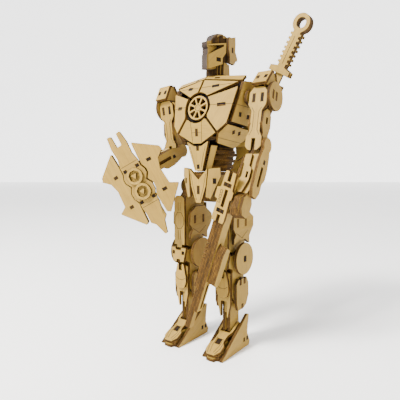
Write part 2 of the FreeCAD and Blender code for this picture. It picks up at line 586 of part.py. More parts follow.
def arm_parts():
    """Left upper arm hanging straight: cap, disc, bone plates, core plies, side plates."""
    x = ARM_X
    y = SHOULDER.y
    pin = Vector(RAISE_X, y, SHOULDER.z)
    elbow = Vector(0, y, ELBOW_Z)
    levels = (y - 4.8, y - 1.5, y + 1.8)
    front = y - 4.8 - PLY
    rear = y + 4.8
    outer = x + 10.2
    core = []
    for i, level in enumerate(levels):
        inner = RAISE_X + 6.1 if i == 1 else x - 6
        outline = [(inner, 258), (outer, 258), (outer, 245), (x + 6, 238), (x + 4.6, 231), (x + 4.6, 214.5),
                   (x - 4.6, 214.5), (x - 4.6, 231), (inner, 240)]
        if i == 1:
            outline[-2:] = [(x - 4.6, 240), (inner, 243)]
        ply = plate("y", level, outline, PLY, 0.5)
        if i != 1:
            ply = ply.fuse(rod("y", level, level + PLY, pin, 5.6)).removeSplitter()
            ply = ply.cut(rod("y", -30, 10, pin, PIN_R + 0.02))
            tab = box(outer - 0.1, outer + PLY - TAB_SINK, level, level + PLY, 247, 255)
            ply = joined(ply, tab)
        core.append(ply)
    bone = [(x - 9.6, 241), (x - 9.6, 253), (x - 5.4, 257.8), (x + 5.4, 257.8), (x + 9.4, 253), (x + 9.4, 241),
            (x + 5.6, 235), (x + 5.6, 215), (x + 8.4, 210), (x + 8.4, 201), (x + 4.4, 197.4), (x - 4.4, 197.4),
            (x - 8.4, 201), (x - 8.4, 210), (x - 5.6, 215), (x - 5.6, 235)]
    notch = box(x - 1.9, x + 1.9, -40, 20, 190, 208.6)
    plates = []
    plugs = []
    for level, face, inward in ((front, front, 1), (rear, rear + PLY, -1)):
        shape = plate("y", level, bone, PLY, 1.6)
        for side in (-1, 1):
            shape = shape.cut(slot("y", level, (x + side * 4.4, 247.5), 3, 8.4))
            low = level if inward < 0 else level + TAB_SINK
            plugs.append(plate("y", low, rect(x + side * 4.4, 247.5, 3, 8.4), PLY - TAB_SINK))
            path = [(x + side * 5.2, 238), (x + side * 2.6, 234), (x + side * 2.6, 217), (x + side * 5.0, 212)]
            shape = score(shape, "y", face, inward, path)
        plates.append(shape.cut(notch) if level == front else shape)
    side = [(y - 6.5, 234), (y - 2, 238), (y + 3, 238), (y + 7.5, 233), (y + 8, 222), (y + 5, 214), (y + 7.4, 208),
            (y + 5.5, 199.6), (y, 197), (y - 5.5, 199.6), (y - 7.4, 208), (y - 5, 214), (y - 8, 222)]
    sides = []
    for level in (x + 4.7, x - 4.7 - PLY):
        shape = plate("x", level, side, PLY, 1.0).cut(rod("x", 40, 80, elbow, 1.5 + 0.02))
        shape = shape.cut(slot("x", level, (y, 227), 3, 6))
        sides.append(shape.cut(Part.makeCompound(plates + core)))
    plates = [shape.cut(box(outer - 0.02, 90, -60, 20, 230, 270)) for shape in plates]
    disc = rod("x", outer, outer + PLY, Vector(0, y + 3.0, SHOULDER.z), 13.6)
    for level in (levels[0], levels[2]):
        disc = disc.cut(slot("x", outer, (level + PLY / 2, 251), PLY, 8))
    return {"shoulder_pin": [rod("y", front + PLY, rear, pin, PIN_R)], "arm_core": core,
            "arm_front_plate": plates[:1], "arm_rear_plate": plates[1:], "arm_tabs": plugs,
            "arm_side_plates": sides, "shoulder_disc": [disc], "shoulder_cap": cap_parts(x, y),
            "elbow_pin": [rod("x", x - 4.7 - PLY, x + 4.7 + PLY, elbow, 1.5)]}


def cap_parts(x, y):
    """Gabled shoulder guard: two roof plates on two end ribs."""
    low = 258.05
    rise = 15.0
    half = 11.0
    apex = low + rise
    inner = x - 5.6
    outer = x + 9.8
    ribs = []
    gable = [(y - half, low), (y + half, low), (y + 1.5, apex), (y - 1.5, apex)]
    for level in (inner + 0.6, outer - 0.6 - PLY):
        ribs.append(plate("x", level, gable, PLY))
    run = half - 1.5
    length = math.hypot(run, rise)
    pieces = []
    for side in (-1, 1):
        corners = [(inner, y + side * half, low), (outer, y + side * half, low),
                   (outer, y + side * 1.5, apex), (inner, y + side * 1.5, apex)]
        out = Vector(0, side * rise, run).normalize() * PLY
        shifted = [Vector(*corner) + out for corner in corners]
        facet = Facet([(v.x, v.y, v.z) for v in shifted], (x, y, low))
        middle = shifted[0] + (shifted[2] - shifted[0]) * 0.5
        slots = [((middle.x + d, middle.y, middle.z), 3.0, 4.4, 0) for d in (-4.2, 4.2)]
        pieces.append(facet.panel(slots, gap=0.02))
        pieces += facet.tabs(slots, 0.0)
    ridge = plate("x", inner + 0.6, [(y - 1.4, apex + 0.02), (y + 1.4, apex + 0.02), (y + 1.4, apex + 2),
                                     (y - 1.4, apex + 2)], outer - inner - 1.2)
    ridge = ridge.cut(Part.makeCompound(pieces))
    return ribs + pieces + [ridge] if length else []


def forearm_parts(slim):
    """Forearm hanging straight: tongue, stacked plies, side plates and hand.

    The left one is slim on the side of the gun and has no round elbow end there."""
    x = ARM_X
    y = SHOULDER.y
    z = ELBOW_Z
    elbow = Vector(0, y, z)
    narrow = 6.1 if slim else 8.4
    tongue = plate("x", x - 1.5, [(y - 4.3, z), (y + 4.3, z), (y + 4.3, z - 11), (y + 3, z - 48), (y - 3, z - 48),
                                  (y - 4.3, z - 11)], PLY)
    tongue = tongue.fuse(rod("x", x - 1.5, x + 1.5, elbow, 4.3)).removeSplitter()
    tongue = tongue.cut(rod("x", 40, 80, elbow, 1.5 + SLIP))
    stack = []
    for i in range(5):
        level = y - 7.5 + i * PLY
        top = (z - 12, z - 10.6, z - 10.6, z - 10.6, z - 12)[i]
        left = narrow - (1.6, 0.6, 0, 0.6, 1.2)[i]
        right = 8.7 - (2.2, 1.0, 0, 1.0, 1.6)[i]
        ply = plate("y", level, [(x - left, top), (x + right, top), (x + right, z - 44), (x + right - 2, z - 50),
                                 (x - left + 2, z - 50), (x - left, z - 44)], PLY, 0.8)
        if i == 0:
            bar = [(x - 4.4, z - 12), (x + 2.4, z - 12), (x + 2.4, z - 24), (x + 5.4, z - 27), (x + 5.4, z - 38),
                   (x + 1.4, z - 50), (x - 4.2, z - 50), (x - 4.2, z - 36), (x - 1.2, z - 32), (x - 1.2, z - 25),
                   (x - 4.4, z - 21)]
            ply = plate("y", level, bar, PLY, 0.5)
            ply = ply.cut(slot("y", level, (x + 2.2, z - 33), 2, 6))
        stack.append(ply.cut(joined(tongue, box(x - 1.6, x + 1.6, y - 4.4, y + 4.4, z - 48.2, z - 5))))
    long = [(y - 4, z), (y + 4, z), (y + 7.4, z - 8), (y + 9.6, z - 20), (y + 9.6, z - 31), (y + 6, z - 37),
            (y + 6, z - 46), (y + 2, z - 53), (y - 4.5, z - 53), (y - 8, z - 46), (y - 8, z - 18), (y - 6, z - 8)]
    short = [(y - 4, z - 12), (y + 5, z - 12)] + long[3:10]
    plates = []
    plugs = []
    for level, shape in ((x + 8.75, long), (x - narrow - 0.05 - PLY, short if slim else long)):
        shape = plate("x", level, shape, PLY, 1.0)
        if level > x or not slim:
            shape = joined(shape, rod("x", level, level + PLY, elbow, 7.4))
        shape = shape.cut(plate("x", level - 1, rect(y, z - 32, 3, 19), 5, 0.6))
        shape = shape.cut(slot("x", level, (y + 1, z - 17), 3, 4))
        low = level if level > x else level + TAB_SINK
        plugs.append(plate("x", low, rect(y + 1, z - 17, 3, 4), PLY - TAB_SINK))
        plates.append(shape)
    wrist = z - 50.05
    hand = []
    for i in range(4):
        grow = (-2.5, 0, 0, -1.5)[i]
        outline = [(y - 9 - grow, wrist - 5), (y - 4, wrist), (y + 4, wrist), (y + 9 + grow, wrist - 5),
                   (y + 9 + grow, wrist - 16), (y + 4, wrist - 21), (y - 4, wrist - 21),
                   (y - 9 - grow, wrist - 16)]
        hand.append(plate("x", x - 6 + i * PLY, outline, PLY, 0.6))
    hand = [pierced(ply, tongue, *plates) for ply in hand]
    return {"forearm_plies": [tongue] + stack + plugs, "forearm_plates": plates, "hand_plies": hand}


def arm_chain(side, swing, bend):
    """Placements of hub, upper arm and forearm for one side (+1 left, -1 right)."""
    hub = turned(SHOULDER, Vector(1, 0, 0), -swing)
    pin = Vector(side * RAISE_X, SHOULDER.y, SHOULDER.z)
    lean = LEFT_LEAN if side > 0 else -RIGHT_LEAN
    upper = hub.multiply(turned(pin, Vector(0, 1, 0), lean))
    elbow = Vector(side * ARM_X, SHOULDER.y, ELBOW_Z)
    fore = upper.multiply(turned(elbow, Vector(1, 0, 0), -bend))
    return hub, upper, fore


def trimmed_fore(place):
    """Right forearm parts shortened to end against the fist and clear of the shield."""
    fist = fist_plies()
    clear = placed(Part.makeBox(140, 49.3, 160, Vector(-70, -40, -80)), shield_place())
    parts = forearm_parts(False)
    del parts["hand_plies"]
    result = {}
    for node, shapes in parts.items():
        shapes = [placed(mirrored(shape), place) for shape in shapes]
        result[node] = [pierced(shape, clear, *fist) for shape in shapes]
    result["hand_plies"] = fist
    return result


def arm(word, side, swing, bend):
    hub, upper, fore = arm_chain(side, swing, bend)
    groups = [(shoulder_parts(), "shoulder_", hub), (arm_parts(), "upper_arm_", upper)]
    if side > 0:
        groups.append((forearm_parts(True), "forearm_", fore))
    merge = {"shoulder_axle": "shoulder_hub", "shoulder_tongue": "shoulder_hub", "arm_tabs": "arm_core",
             "shoulder_pin": "arm_core", "elbow_pin": "arm_core", "arm_front_plate": "arm_plates",
             "arm_rear_plate": "arm_plates", "arm_side_plates": "arm_plates",
             "shoulder_disc": "shoulder_cap"}
    for parts, body, place in groups:
        for node, shapes in parts.items():
            node = merge.get(node, node)
            for shape in shapes:
                shape = placed(mirrored(shape) if side < 0 else shape, place)
                if node == "hand_plies":
                    shape = shape.cut(gun_peg(PIN_R + 0.02, 61))
                put(body + word, "%s_%s" % (node, word), shape)


def right_forearm():
    place = arm_chain(-1, RIGHT_SWING, RIGHT_BEND)[2]
    for node, shapes in trimmed_fore(place).items():
        put("forearm_right", node + "_right", *shapes)


# ---------------------------------------------------------------- gun and shield

GUN_MUZZLE = Vector(-0.5, -58, 27.5)      # middle of the front face at the muzzle end
GUN_TOP = Vector(52.5, -55.5, 180.5)


def frame_at(point, up, front):
    """Placement with local Z along up and local -Y towards the front."""
    up = Vector(up).normalize()
    side = Vector(front).cross(up).normalize() * -1
    return Placement(point, Rotation(side, up.cross(side), up, "ZXY"))


GUN_LENGTH = (GUN_TOP - GUN_MUZZLE).Length
GUN_PLACE = frame_at(GUN_MUZZLE, GUN_TOP - GUN_MUZZLE, Vector(0, -1, 0))


def put_gun(node, *shapes):
    """The gun is pressed into the left fist, so it belongs to that forearm."""
    put("forearm_left", node, *[placed(shape, GUN_PLACE) for shape in shapes])


def gun_peg(radius, end):
    """The peg from the gun's side into the fist, or the cutter of its hole."""
    return rod("x", 44, end, Vector(0, -49, 144), radius)


def gun():
    """Toy long gun of upright plies: barrel, cooling fins, receiver plate and fore grip."""
    long = GUN_LENGTH
    top = long - 3
    waist = long - 50
    comb = []
    for i in range(5):
        base = 74 + i * 3.8
        comb += [(3.2, base), (8.4, base), (8.4, base + 1.9), (3.2, base + 1.9)]
    rear = [(14.6, waist + 12), (6.6, waist + 18), (6.6, top), (3.2, top)]
    outer = [(3.2, 44), (9, 44), (11, 50), (14.6, 54)] + rear
    inner = [(3.2, 0), (10, 0), (10, 40), (14.6, 48)] + rear
    right = [(3.2, 20), (12, 20), (12, 52), (14.6, 56)] + rear
    plies = [plate("x", -6, outer + list(reversed(comb)), PLY), plate("x", -3, inner, PLY), plate("x", 0, inner, PLY),
             plate("x", 3, right, PLY)]
    for z, length in ((36, 26), (78, 30)):
        plies[3] = plies[3].cut(plate("x", 2, rect(8.6, z, 2.2, length), 6, 0.5))
    put_gun("gun_body", *plies)
    half = 6.6
    face = [(-half, long - 48), (-half - 0.6, long - 44), (-half, long - 28), (-half - 3.4, long - 27),
            (-half - 3.4, long - 17), (-half, long - 16), (-half + 1, long), (half - 1, long),
            (half, long - 16), (half + 1.6, long - 17), (half + 1.6, long - 24), (half, long - 25),
            (half + 0.6, long - 44), (half, long - 48)]
    bright = plate("y", 0.2, face, PLY, 0.5)
    bright = pierced(bright, box(-1.6, 1.6, -1, 4, long - 9, long + 1), box(-1.6, 1.6, -1, 4, long - 49, long - 41))
    for z in (long - 12.5, long - 37):
        bright = bright.cut(slot("y", 0.2, (0, z), 8, 3.4))
    bright = bright.cut(plate("y", -1, rect(0.6, long - 25, 2.8, 16), 6))
    for i in range(3):
        z = long - 20 - 4.4 * i
        bright = score(bright, "y", 0.2, 1, rect(-4.2, z, 2.2, 3) + rect(-4.2, z, 2.2, 3)[:1])
    put_gun("gun_receiver", bright)
    plugs = [plate("y", 0.2 + TAB_SINK, rect(x, z, 2.2, 3.4), PLY - TAB_SINK)
             for z in (long - 12.5, long - 37) for x in (-2.8, 0, 2.8)]
    put_gun("gun_receiver", *plugs)
    grip = [(4.5, 54), (11, 50), (14, 58), (14, 90), (7, 93), (4.5, 86)]
    put_gun("gun_fore_grip", *[plate("x", 6.05 + i * PLY, grip, PLY, 0.6) for i in range(3)])
    put("forearm_left", "gun_fore_grip", gun_peg(PIN_R, 60).cut(placed(plies[3], GUN_PLACE)))


SHIELD_CENTRE = Vector(-52.5, -65.4, 167.9)
SHIELD_FACING = 27.0     # turned from straight ahead towards the figure's left
SHIELD_TILT = -29.0      # its top leans towards the figure's right
SHIELD_FOLD = 12.0       # how far each wing folds back
GRIP_START = 3.3         # the fist begins this far behind the shield's front
GRIP_END = 18.3


def shield_place():
    facing = Rotation(Vector(0, 0, 1), SHIELD_FACING)
    tilt = Rotation(Vector(0, 1, 0), SHIELD_TILT)
    return Placement(SHIELD_CENTRE, facing.multiply(tilt))


def shield():
    """Forked blade with a figure-of-eight boss plate between two folded wings."""
    place = shield_place()
    half = [(2.8, 43), (3.2, 56), (7.6, 56.4), (9.2, 43.5), (8.4, 32), (10.2, 23), (10.2, 15.5), (12.4, 11),
            (12.4, 6.5), (8.6, 1), (12.2, -5), (12.2, -11.5), (9.4, -16), (9.6, -24), (8.6, -30), (9.0, -40.4),
            (5.0, -44.4), (1.2, -57)]
    outline = half + [(-a, b) for a, b in reversed(half)]
    body = plate("y", 0, outline, PLY, 1.2)
    squares = [(side * 7.2, height) for side in (-1, 1) for height in (17.4, -17.6)]
    for centre in squares:
        body = body.cut(slot("y", 0, centre, 4, 3.6))
    body = score(body, "y", 0, 1, [(-9, 22.5), (9, 22.5)])
    body = score(body, "y", 0, 1, [(-8.6, -23), (8.6, -23)])
    peg = rod("y", 0.5, GRIP_END, Vector(0, 0, 0), 3.0)
    put("shield", "shield_blade", placed(body.cut(rod("y", -1, 9, Vector(0, 0, 0), 3.02)), place))
    bosses = [Vector(0, 0, 8.6), Vector(0, 0, -8.6)]
    eight = joined(*[rod("y", -PLY, -0.02, centre, 8.7) for centre in bosses])
    studs = []
    for centre in bosses:
        window = [(-5.4, centre.z - 2.4), (-5.4, centre.z + 2.4), (-2.4, centre.z + 5.4), (2.4, centre.z + 5.4),
                  (5.4, centre.z + 2.4), (5.4, centre.z - 2.4), (2.4, centre.z - 5.4), (-2.4, centre.z - 5.4)]
        eight = eight.cut(plate("y", -10, window, 20, 0.5))
        stud = [(-3.6, centre.z + 2.4), (3.6, centre.z + 2.4), (0, centre.z - 3.8)]
        studs.append(plate("y", -PLY, stud, PLY - 0.02, 0.8))
    put("shield", "shield_boss", *[placed(part, place) for part in [eight, peg] + studs])
    wing = [(12.4, 41), (36, 25), (37.4, 21), (29.4, 14), (26.4, 4), (27.8, -13), (36.4, -17.4), (15, -40),
            (11.6, -38), (10.4, -17.4), (13.4, -11), (13.6, -5), (10.2, 1), (13.8, 6.5), (13.8, 11), (11.6, 16),
            (11.4, 24)]
    flap = plate("y", 0.8, wing, PLY, 1.0)
    marks = [(20.4, 17.4), (20.4, -16.6)]
    for centre in marks:
        flap = flap.cut(slot("y", 0.8, centre, 4.6, 3))
    flap = placed(flap, turned(Vector(11, 0, 0), Vector(0, 0, 1), SHIELD_FOLD))
    plugs = [plate("y", 0.8 + TAB_SINK, rect(a, b, 4.6, 3), PLY - TAB_SINK) for a, b in marks]
    plugs = [placed(plug, turned(Vector(11, 0, 0), Vector(0, 0, 1), SHIELD_FOLD)) for plug in plugs]
    wings = [flap, mirrored(flap)]
    put("shield", "shield_wings", *[placed(part, place) for part in wings])
    pieces = plugs + [mirrored(plug) for plug in plugs]
    pieces += [plate("y", TAB_SINK, rect(a, b, 4, 3.6), PLY - TAB_SINK) for a, b in squares]
    for height in (17.4, -17.0):
        brace = plate("z", height - 1.4, [(0, PLY), (10, PLY), (26, PLY + 2.2), (26, PLY + 5.4), (0, PLY + 5.4)], 2.8)
        brace = joined(brace, mirrored(brace))
        pieces.append(pierced(brace, *wings, *pieces[:8]))
    put("shield", "shield_blade", *[placed(part, place) for part in pieces])


def fist_plies():
    """Right fist: round plies behind the shield and longer ones back to the forearm."""
    made = []
    centre = Vector(0, 0, 0)
    for i in range(5):
        low = GRIP_START + i * PLY
        ply = rod("y", low, low + PLY, centre, 8.6)
        if i > 1:
            link = plate("y", low, [(-7.4, 4.4), (7.4, -4.4), (16.8, 10.4), (12, 21.4), (1.4, 19.2)], PLY, 1.0)
            ply = joined(ply, link)
        made.append(placed(ply.cut(rod("y", 0, 30, centre, 3.0 + SLIP)), shield_place()))
    return made


# ---------------------------------------------------------------- legs

def bar(x0, x1, y, z0, z1):
    return box(x0, x1, y - PLY / 2, y + PLY / 2, z0, z1)


def thigh_parts():
    x = LEG_X
    outline = [(-30.9, 104), (-30.9, 150), (-21, 162), (-4, 162), (3, 150), (3, 108), (-7, 100), (-23, 100)]
    hole = Part.makeCompound([rod("x", 0, 60, HIP, AXLE_R + SLIP), rod("x", 0, 60, KNEE, 2.5 + 0.02)])
    bars = [bar(15.0, 39.0, y, 126, 134) for y in (-22.5, -8.0)]
    cutters = [box(0, 60, b.BoundBox.YMin - TAB_FIT, b.BoundBox.YMax + TAB_FIT, b.BoundBox.ZMin - TAB_FIT,
                   b.BoundBox.ZMax + TAB_FIT) for b in bars]
    core = []
    for i in range(3):
        ply = plate("x", x - 4.5 + i * PLY, outline, PLY, 1.0)
        ply = ply.fuse(rod("x", x - 4.5 + i * PLY, x - 1.5 + i * PLY, HIP, 8.5))
        ply = ply.fuse(rod("x", x - 4.5 + i * PLY, x - 1.5 + i * PLY, KNEE, 8.0)).removeSplitter()
        core.append(pierced(ply, hole, *cutters))
    hexagon = [(-30, 137), (-20, 143.6), (-6, 143.6), (7.5, 134), (7.5, 125), (-0.5, 115), (-0.5, 107), (-9, 112.5),
               (-21, 112.5), (-29.5, 109), (-29, 115), (-26, 119), (-30.5, 125)]
    sides = []
    for level, face, inward in ((15.25, 15.25, 1), (35.5, 38.5, -1)):
        shape = pierced(plate("x", level, hexagon, PLY, 1.0), *cutters)
        shape = score(shape, "x", face, inward, [(-26, 121), (-15, 114.5), (-4, 121)])
        sides.append(shape)
    front = plate("y", -34, [(x - 7, 103.6), (x - 7, 152), (x - 4, 155), (x + 4, 155), (x + 7, 152), (x + 7, 103.6),
                             (x + 3.6, 103.6), (x + 3.6, 100.5), (x - 3.6, 100.5), (x - 3.6, 103.6)], PLY, 0.5)
    centre = regular(x, 129, 6.2, 8, 22.5)
    tall = [(a, 129 + (b - 129) * 1.5) for a, b in centre]
    front = score(front, "y", -34, 1, tall + tall[:1])
    for side in (-1.3, 1.3):
        front = score(front, "y", -34, 1, [(x + side, 139.5), (x + side, 148)])
        front = score(front, "y", -34, 1, [(x + side, 118.5), (x + side, 109)])
    rear = plate("y", 3.05, [(x - 6, 112), (x - 6, 146), (x + 6, 146), (x + 6, 112)], PLY, 1.0)
    return {"thigh_core": core, "thigh_side_plates": sides, "thigh_front_plate": [front, rear],
            "thigh_bars": [piece for piece in bars]}


def knee_parts():
    """Pin and discs of the left knee, fixed to the thigh."""
    pin = rod("x", 12.6, 41.4, KNEE, 2.5)
    discs = []
    for low in (39.2, 11.4):
        disc = rod("x", low, low + PLY, KNEE, 16.0)
        discs.append(disc.cut(rod("x", 0, 60, KNEE, 2.5 + 0.02)) if low > 30 else disc)
    outer = discs[0]
    inner = discs[1].cut(rod("x", 12.6, 60, KNEE, 2.5 + 0.02))
    washer = [rod("x", a, b, KNEE, 5.0).cut(rod("x", 0, 60, KNEE, 2.5 + 0.02))
              for a, b in ((14.45, 18.9), (35.1, 39.15))]
    plug = plate("x", 39.2 + PLY, rect(KNEE.y, KNEE.z, 4, 6), 0.4)
    return {"knee_pin": [pin] + washer, "knee_discs": [outer, inner], "knee_plug": [plug]}


def shin_parts():
    x = LEG_X
    bars = [box(14.0, 40.0, y - 1.5, y + 1.5, z0, z1) for y, z0, z1 in
            ((-19.5, 68, 73), (-12.0, 68, 73), (-16.0, 43, 48))]
    cutters = [box(0, 60, b.BoundBox.YMin - TAB_FIT, b.BoundBox.YMax + TAB_FIT, b.BoundBox.ZMin - TAB_FIT,
                   b.BoundBox.ZMax + TAB_FIT) for b in bars]
    core = []
    for i in range(3):
        level = x - 4.5 + i * PLY
        front = (-25.5, -24.0, -25.5)[i]
        ply = plate("x", level, [(front, 84.6), (-5, 84.6), (-7, 60), (-9.5, 46), (-9.5, 20), (front, 20)], PLY)
        ply = ply.fuse(rod("x", level, level + PLY, ANKLE, 6.3))
        ply = ply.fuse(box(level, level + PLY, -21, -13, 13, 21)).removeSplitter()
        core.append(pierced(ply, rod("x", 0, 60, ANKLE, PIN_R + SLIP), rod("x", 0, 60, KNEE, 8.4), *cutters))
    cheek = [(-32.9, 86.6), (-32.9, 98), (-24, 98.6), (-8, 98), (-5, 88), (-5, 60), (-10, 47), (-19, 47),
             (-26.8, 56), (-26.8, 84)]
    cheeks = []
    for level in (x - 4.8 - PLY, x + 4.8):
        shape = plate("x", level, cheek, PLY, 1.0).fuse(rod("x", level, level + PLY, KNEE, 8.0))
        cheeks.append(pierced(shape.removeSplitter(), rod("x", 0, 60, KNEE, 2.5 + SLIP), *cutters))
    cap = plate("y", -36, [(x - 7, 85.6), (x - 10.4, 101), (x - 4, 101), (x - 3, 98.4), (x + 3, 98.4), (x + 4, 101),
                           (x + 10.4, 101), (x + 7, 85.6), (x + 2.2, 85.6), (x + 2.2, 88.2), (x - 2.2, 88.2),
                           (x - 2.2, 85.6)], PLY, 0.5)
    plugs = []
    for side in (-1, 1):
        cap = cap.cut(slot("y", -36, (x + side * 6.3, 95.4), 3, 3.2))
        plugs.append(plate("y", -36 + 1.2, rect(x + side * 6.3, 95.4, 3, 3.2), PLY - 1.2))
    guard = plate("y", -33, [(x - 2.2, 84), (x - 4.5, 82), (x - 7.2, 70), (x - 7.6, 64), (x - 5.4, 57.6),
                             (x - 2, 56), (x + 2, 56), (x + 5.4, 57.6), (x + 7.6, 64), (x + 7.2, 70),
                             (x + 4.5, 82), (x + 2.2, 84), (x + 2.2, 76), (x - 2.2, 76)], PLY, 1.2)
    guard = score(guard, "y", -33, 1, [(x - 6.2, 68), (x - 2.6, 65.8), (x + 2.6, 65.8), (x + 6.2, 68)])
    fork = plate("y", -30, [(x - 7.6, 81), (x - 7.6, 50), (x - 4.6, 36), (x - 3.4, 36), (x - 3.4, 52), (x + 3.4, 52),
                            (x + 3.4, 36), (x + 4.6, 36), (x + 7.6, 50), (x + 7.6, 81)], PLY, 0.8)
    column = [plate("x", x - 1.5, [(-26.9, 40), (-26.9, 80), (-24.1, 80), (-24.1, 40)], PLY)]
    calf = [(-27, 70), (-23, 74), (-21.2, 74), (-21.2, 67.9), (-17.8, 67.9), (-17.8, 74), (-13.7, 74),
            (-13.7, 67.9), (-10.3, 67.9), (-10.3, 74), (-8, 74), (-4.5, 68), (-4, 55), (-8.5, 46), (-14.3, 42.9),
            (-14.3, 48.1), (-17.7, 48.1), (-17.7, 42.9), (-24, 42.9), (-26.5, 50)]
    plates = [plate("x", level, calf, PLY, 0.6) for level in (37.0, 14.0)]
    plates = [pierced(shape, *cutters) for shape in plates]
    return {"shin_core": core + column, "shin_cheeks": cheeks, "knee_cap": [cap] + plugs,
            "shin_guard": [guard, fork], "calf_plates": plates + bars}


def foot_parts():
    x = LEG_X
    half = 11.9
    toe = [(x - 8.9, -2), (x - 8.9, -45), (x - 8, -50), (x - 5.5, -50.5), (x - 4.5, -53.5), (x - 1.2, -54),
           (x + 1.2, -54), (x + 4.5, -53.5), (x + 5.5, -50.5), (x + 8, -50), (x + 8.9, -45), (x + 8.9, -2)]
    soles = [plate("z", 0, toe, PLY), plate("z", PLY, [(a, max(b, -51.0)) for a, b in toe], PLY)]
    side = [(-52.2, 0), (-16.4, 25.0), (-5.0, 33.6), (-1.4, 33.0), (-3.2, 24), (-4.2, 13.6), (0.4, 4), (-1, 0)]
    ribs = []
    plugs = []
    spots = ((-10.5, 8.5), (-4.6, 8.5))
    for level in (x - half, x + half - PLY):
        shape = plate("x", level, side, PLY, 0.8)
        for centre in spots:
            shape = shape.cut(slot("x", level, centre, 3, 4.2))
            plugs.append(plate("x", level + TAB_SINK, rect(centre[0], centre[1], 3, 4.2), PLY - 2 * TAB_SINK))
        ribs.append(shape)
    blocks = []
    for level in (x - 8.85, x + 8.85 - PLY):
        block = plate("x", level, [(-27, 6), (-26, 17), (-20, 21), (-13, 21), (-5, 14), (-4, 6)], PLY)
        blocks.append(block.cut(rod("x", 0, 60, ANKLE, PIN_R + 0.02)))
    pin = rod("x", x - 8.8, x + 8.8, ANKLE, PIN_R)
    heel = box(x - 5.8, x + 5.8, -6.6, -3.6, 6, 12)
    facet = Facet([(x, -53.6, 6.6), (x + 5, -53.6, 6.6), (x + 5, -19, 25.0)], (x, -30, 0))
    run = math.hypot(34.6, 18.4)
    cap = [(-4.5, 0), (4.5, 0), (8.6, 5.5), (8.6, 13), (5.6, 17), (5.6, 25), (8.4, 31), (8.4, run + 6),
           (6.2, run + 6), (3.2, run - 9.5), (-3.2, run - 9.5), (-6.2, run + 6), (-8.4, run + 6), (-8.4, 31),
           (-5.6, 25), (-5.6, 17), (-8.6, 13), (-8.6, 5.5)]
    shape = plate("z", -PLY, cap, PLY, 0.6)
    shape = shape.cut(slot("z", -PLY, (0, 16.5), 5.6, 6.4))
    for s in (-1, 1):
        shape = score(shape, "z", 0, -1, [(s * 3.8, 21), (s * 3.8, 11), (s * 2.0, 3.5)])
        shape = score(shape, "z", 0, -1, [(s * 6.2, 16), (s * 6.4, 9), (s * 4.2, 2)])
    top = placed(shape, facet.place)
    dark = placed(plate("z", -PLY, rect(0, 16.5, 5.6, 6.4), PLY - 0.6), facet.place)
    column = box(x - 5.6, x + 5.6, -27.6, 5, 5, 60)
    top = top.cut(column)
    props = []
    for level in (x - 4.5, x + 1.5):
        prop = plate("x", level, [(-50, 6), (-28, 6), (-28, 16.4), (-50, 4.9)], PLY)
        props.append(prop.common(placed(Part.makeBox(80, 120, 60, Vector(-40, -40, -63.05)), facet.place)))
    dark = [dark.cut(Part.makeCompound(props))]
    blocks = [block.cut(top) for block in blocks]
    soles = [sole.cut(top) for sole in soles]
    return {"foot_soles": soles, "foot_side_plates": ribs, "toe_cap": [top] + dark,
            "ankle_blocks": blocks + props + [heel] + plugs, "ankle_pin": [pin]}


def leg(word, side):
    merge = {"knee_plug": "knee_discs", "knee_pin": "knee_discs", "thigh_bars": "thigh_core",
             "thigh_side_plates": "thigh_plates", "thigh_front_plate": "thigh_plates",
             "shin_cheeks": "shin_plates", "knee_cap": "shin_plates", "shin_guard": "shin_plates",
             "ankle_blocks": "foot_soles", "ankle_pin": "foot_soles"}
    for parts, body in ((thigh_parts(), "thigh_"), (knee_parts(), "thigh_"), (shin_parts(), "shin_"),
                        (foot_parts(), "foot_")):
        for node, shapes in parts.items():
            name = "%s_%s" % (merge.get(node, node), word)
            put(body + word, name, *[mirrored(s) if side < 0 else s for s in shapes])


# ---------------------------------------------------------------- joints

def hinge(name, parent, child, point, axis, low, high):
    JOINTS.append((name, "hinge", parent, child, point, axis, low, high))


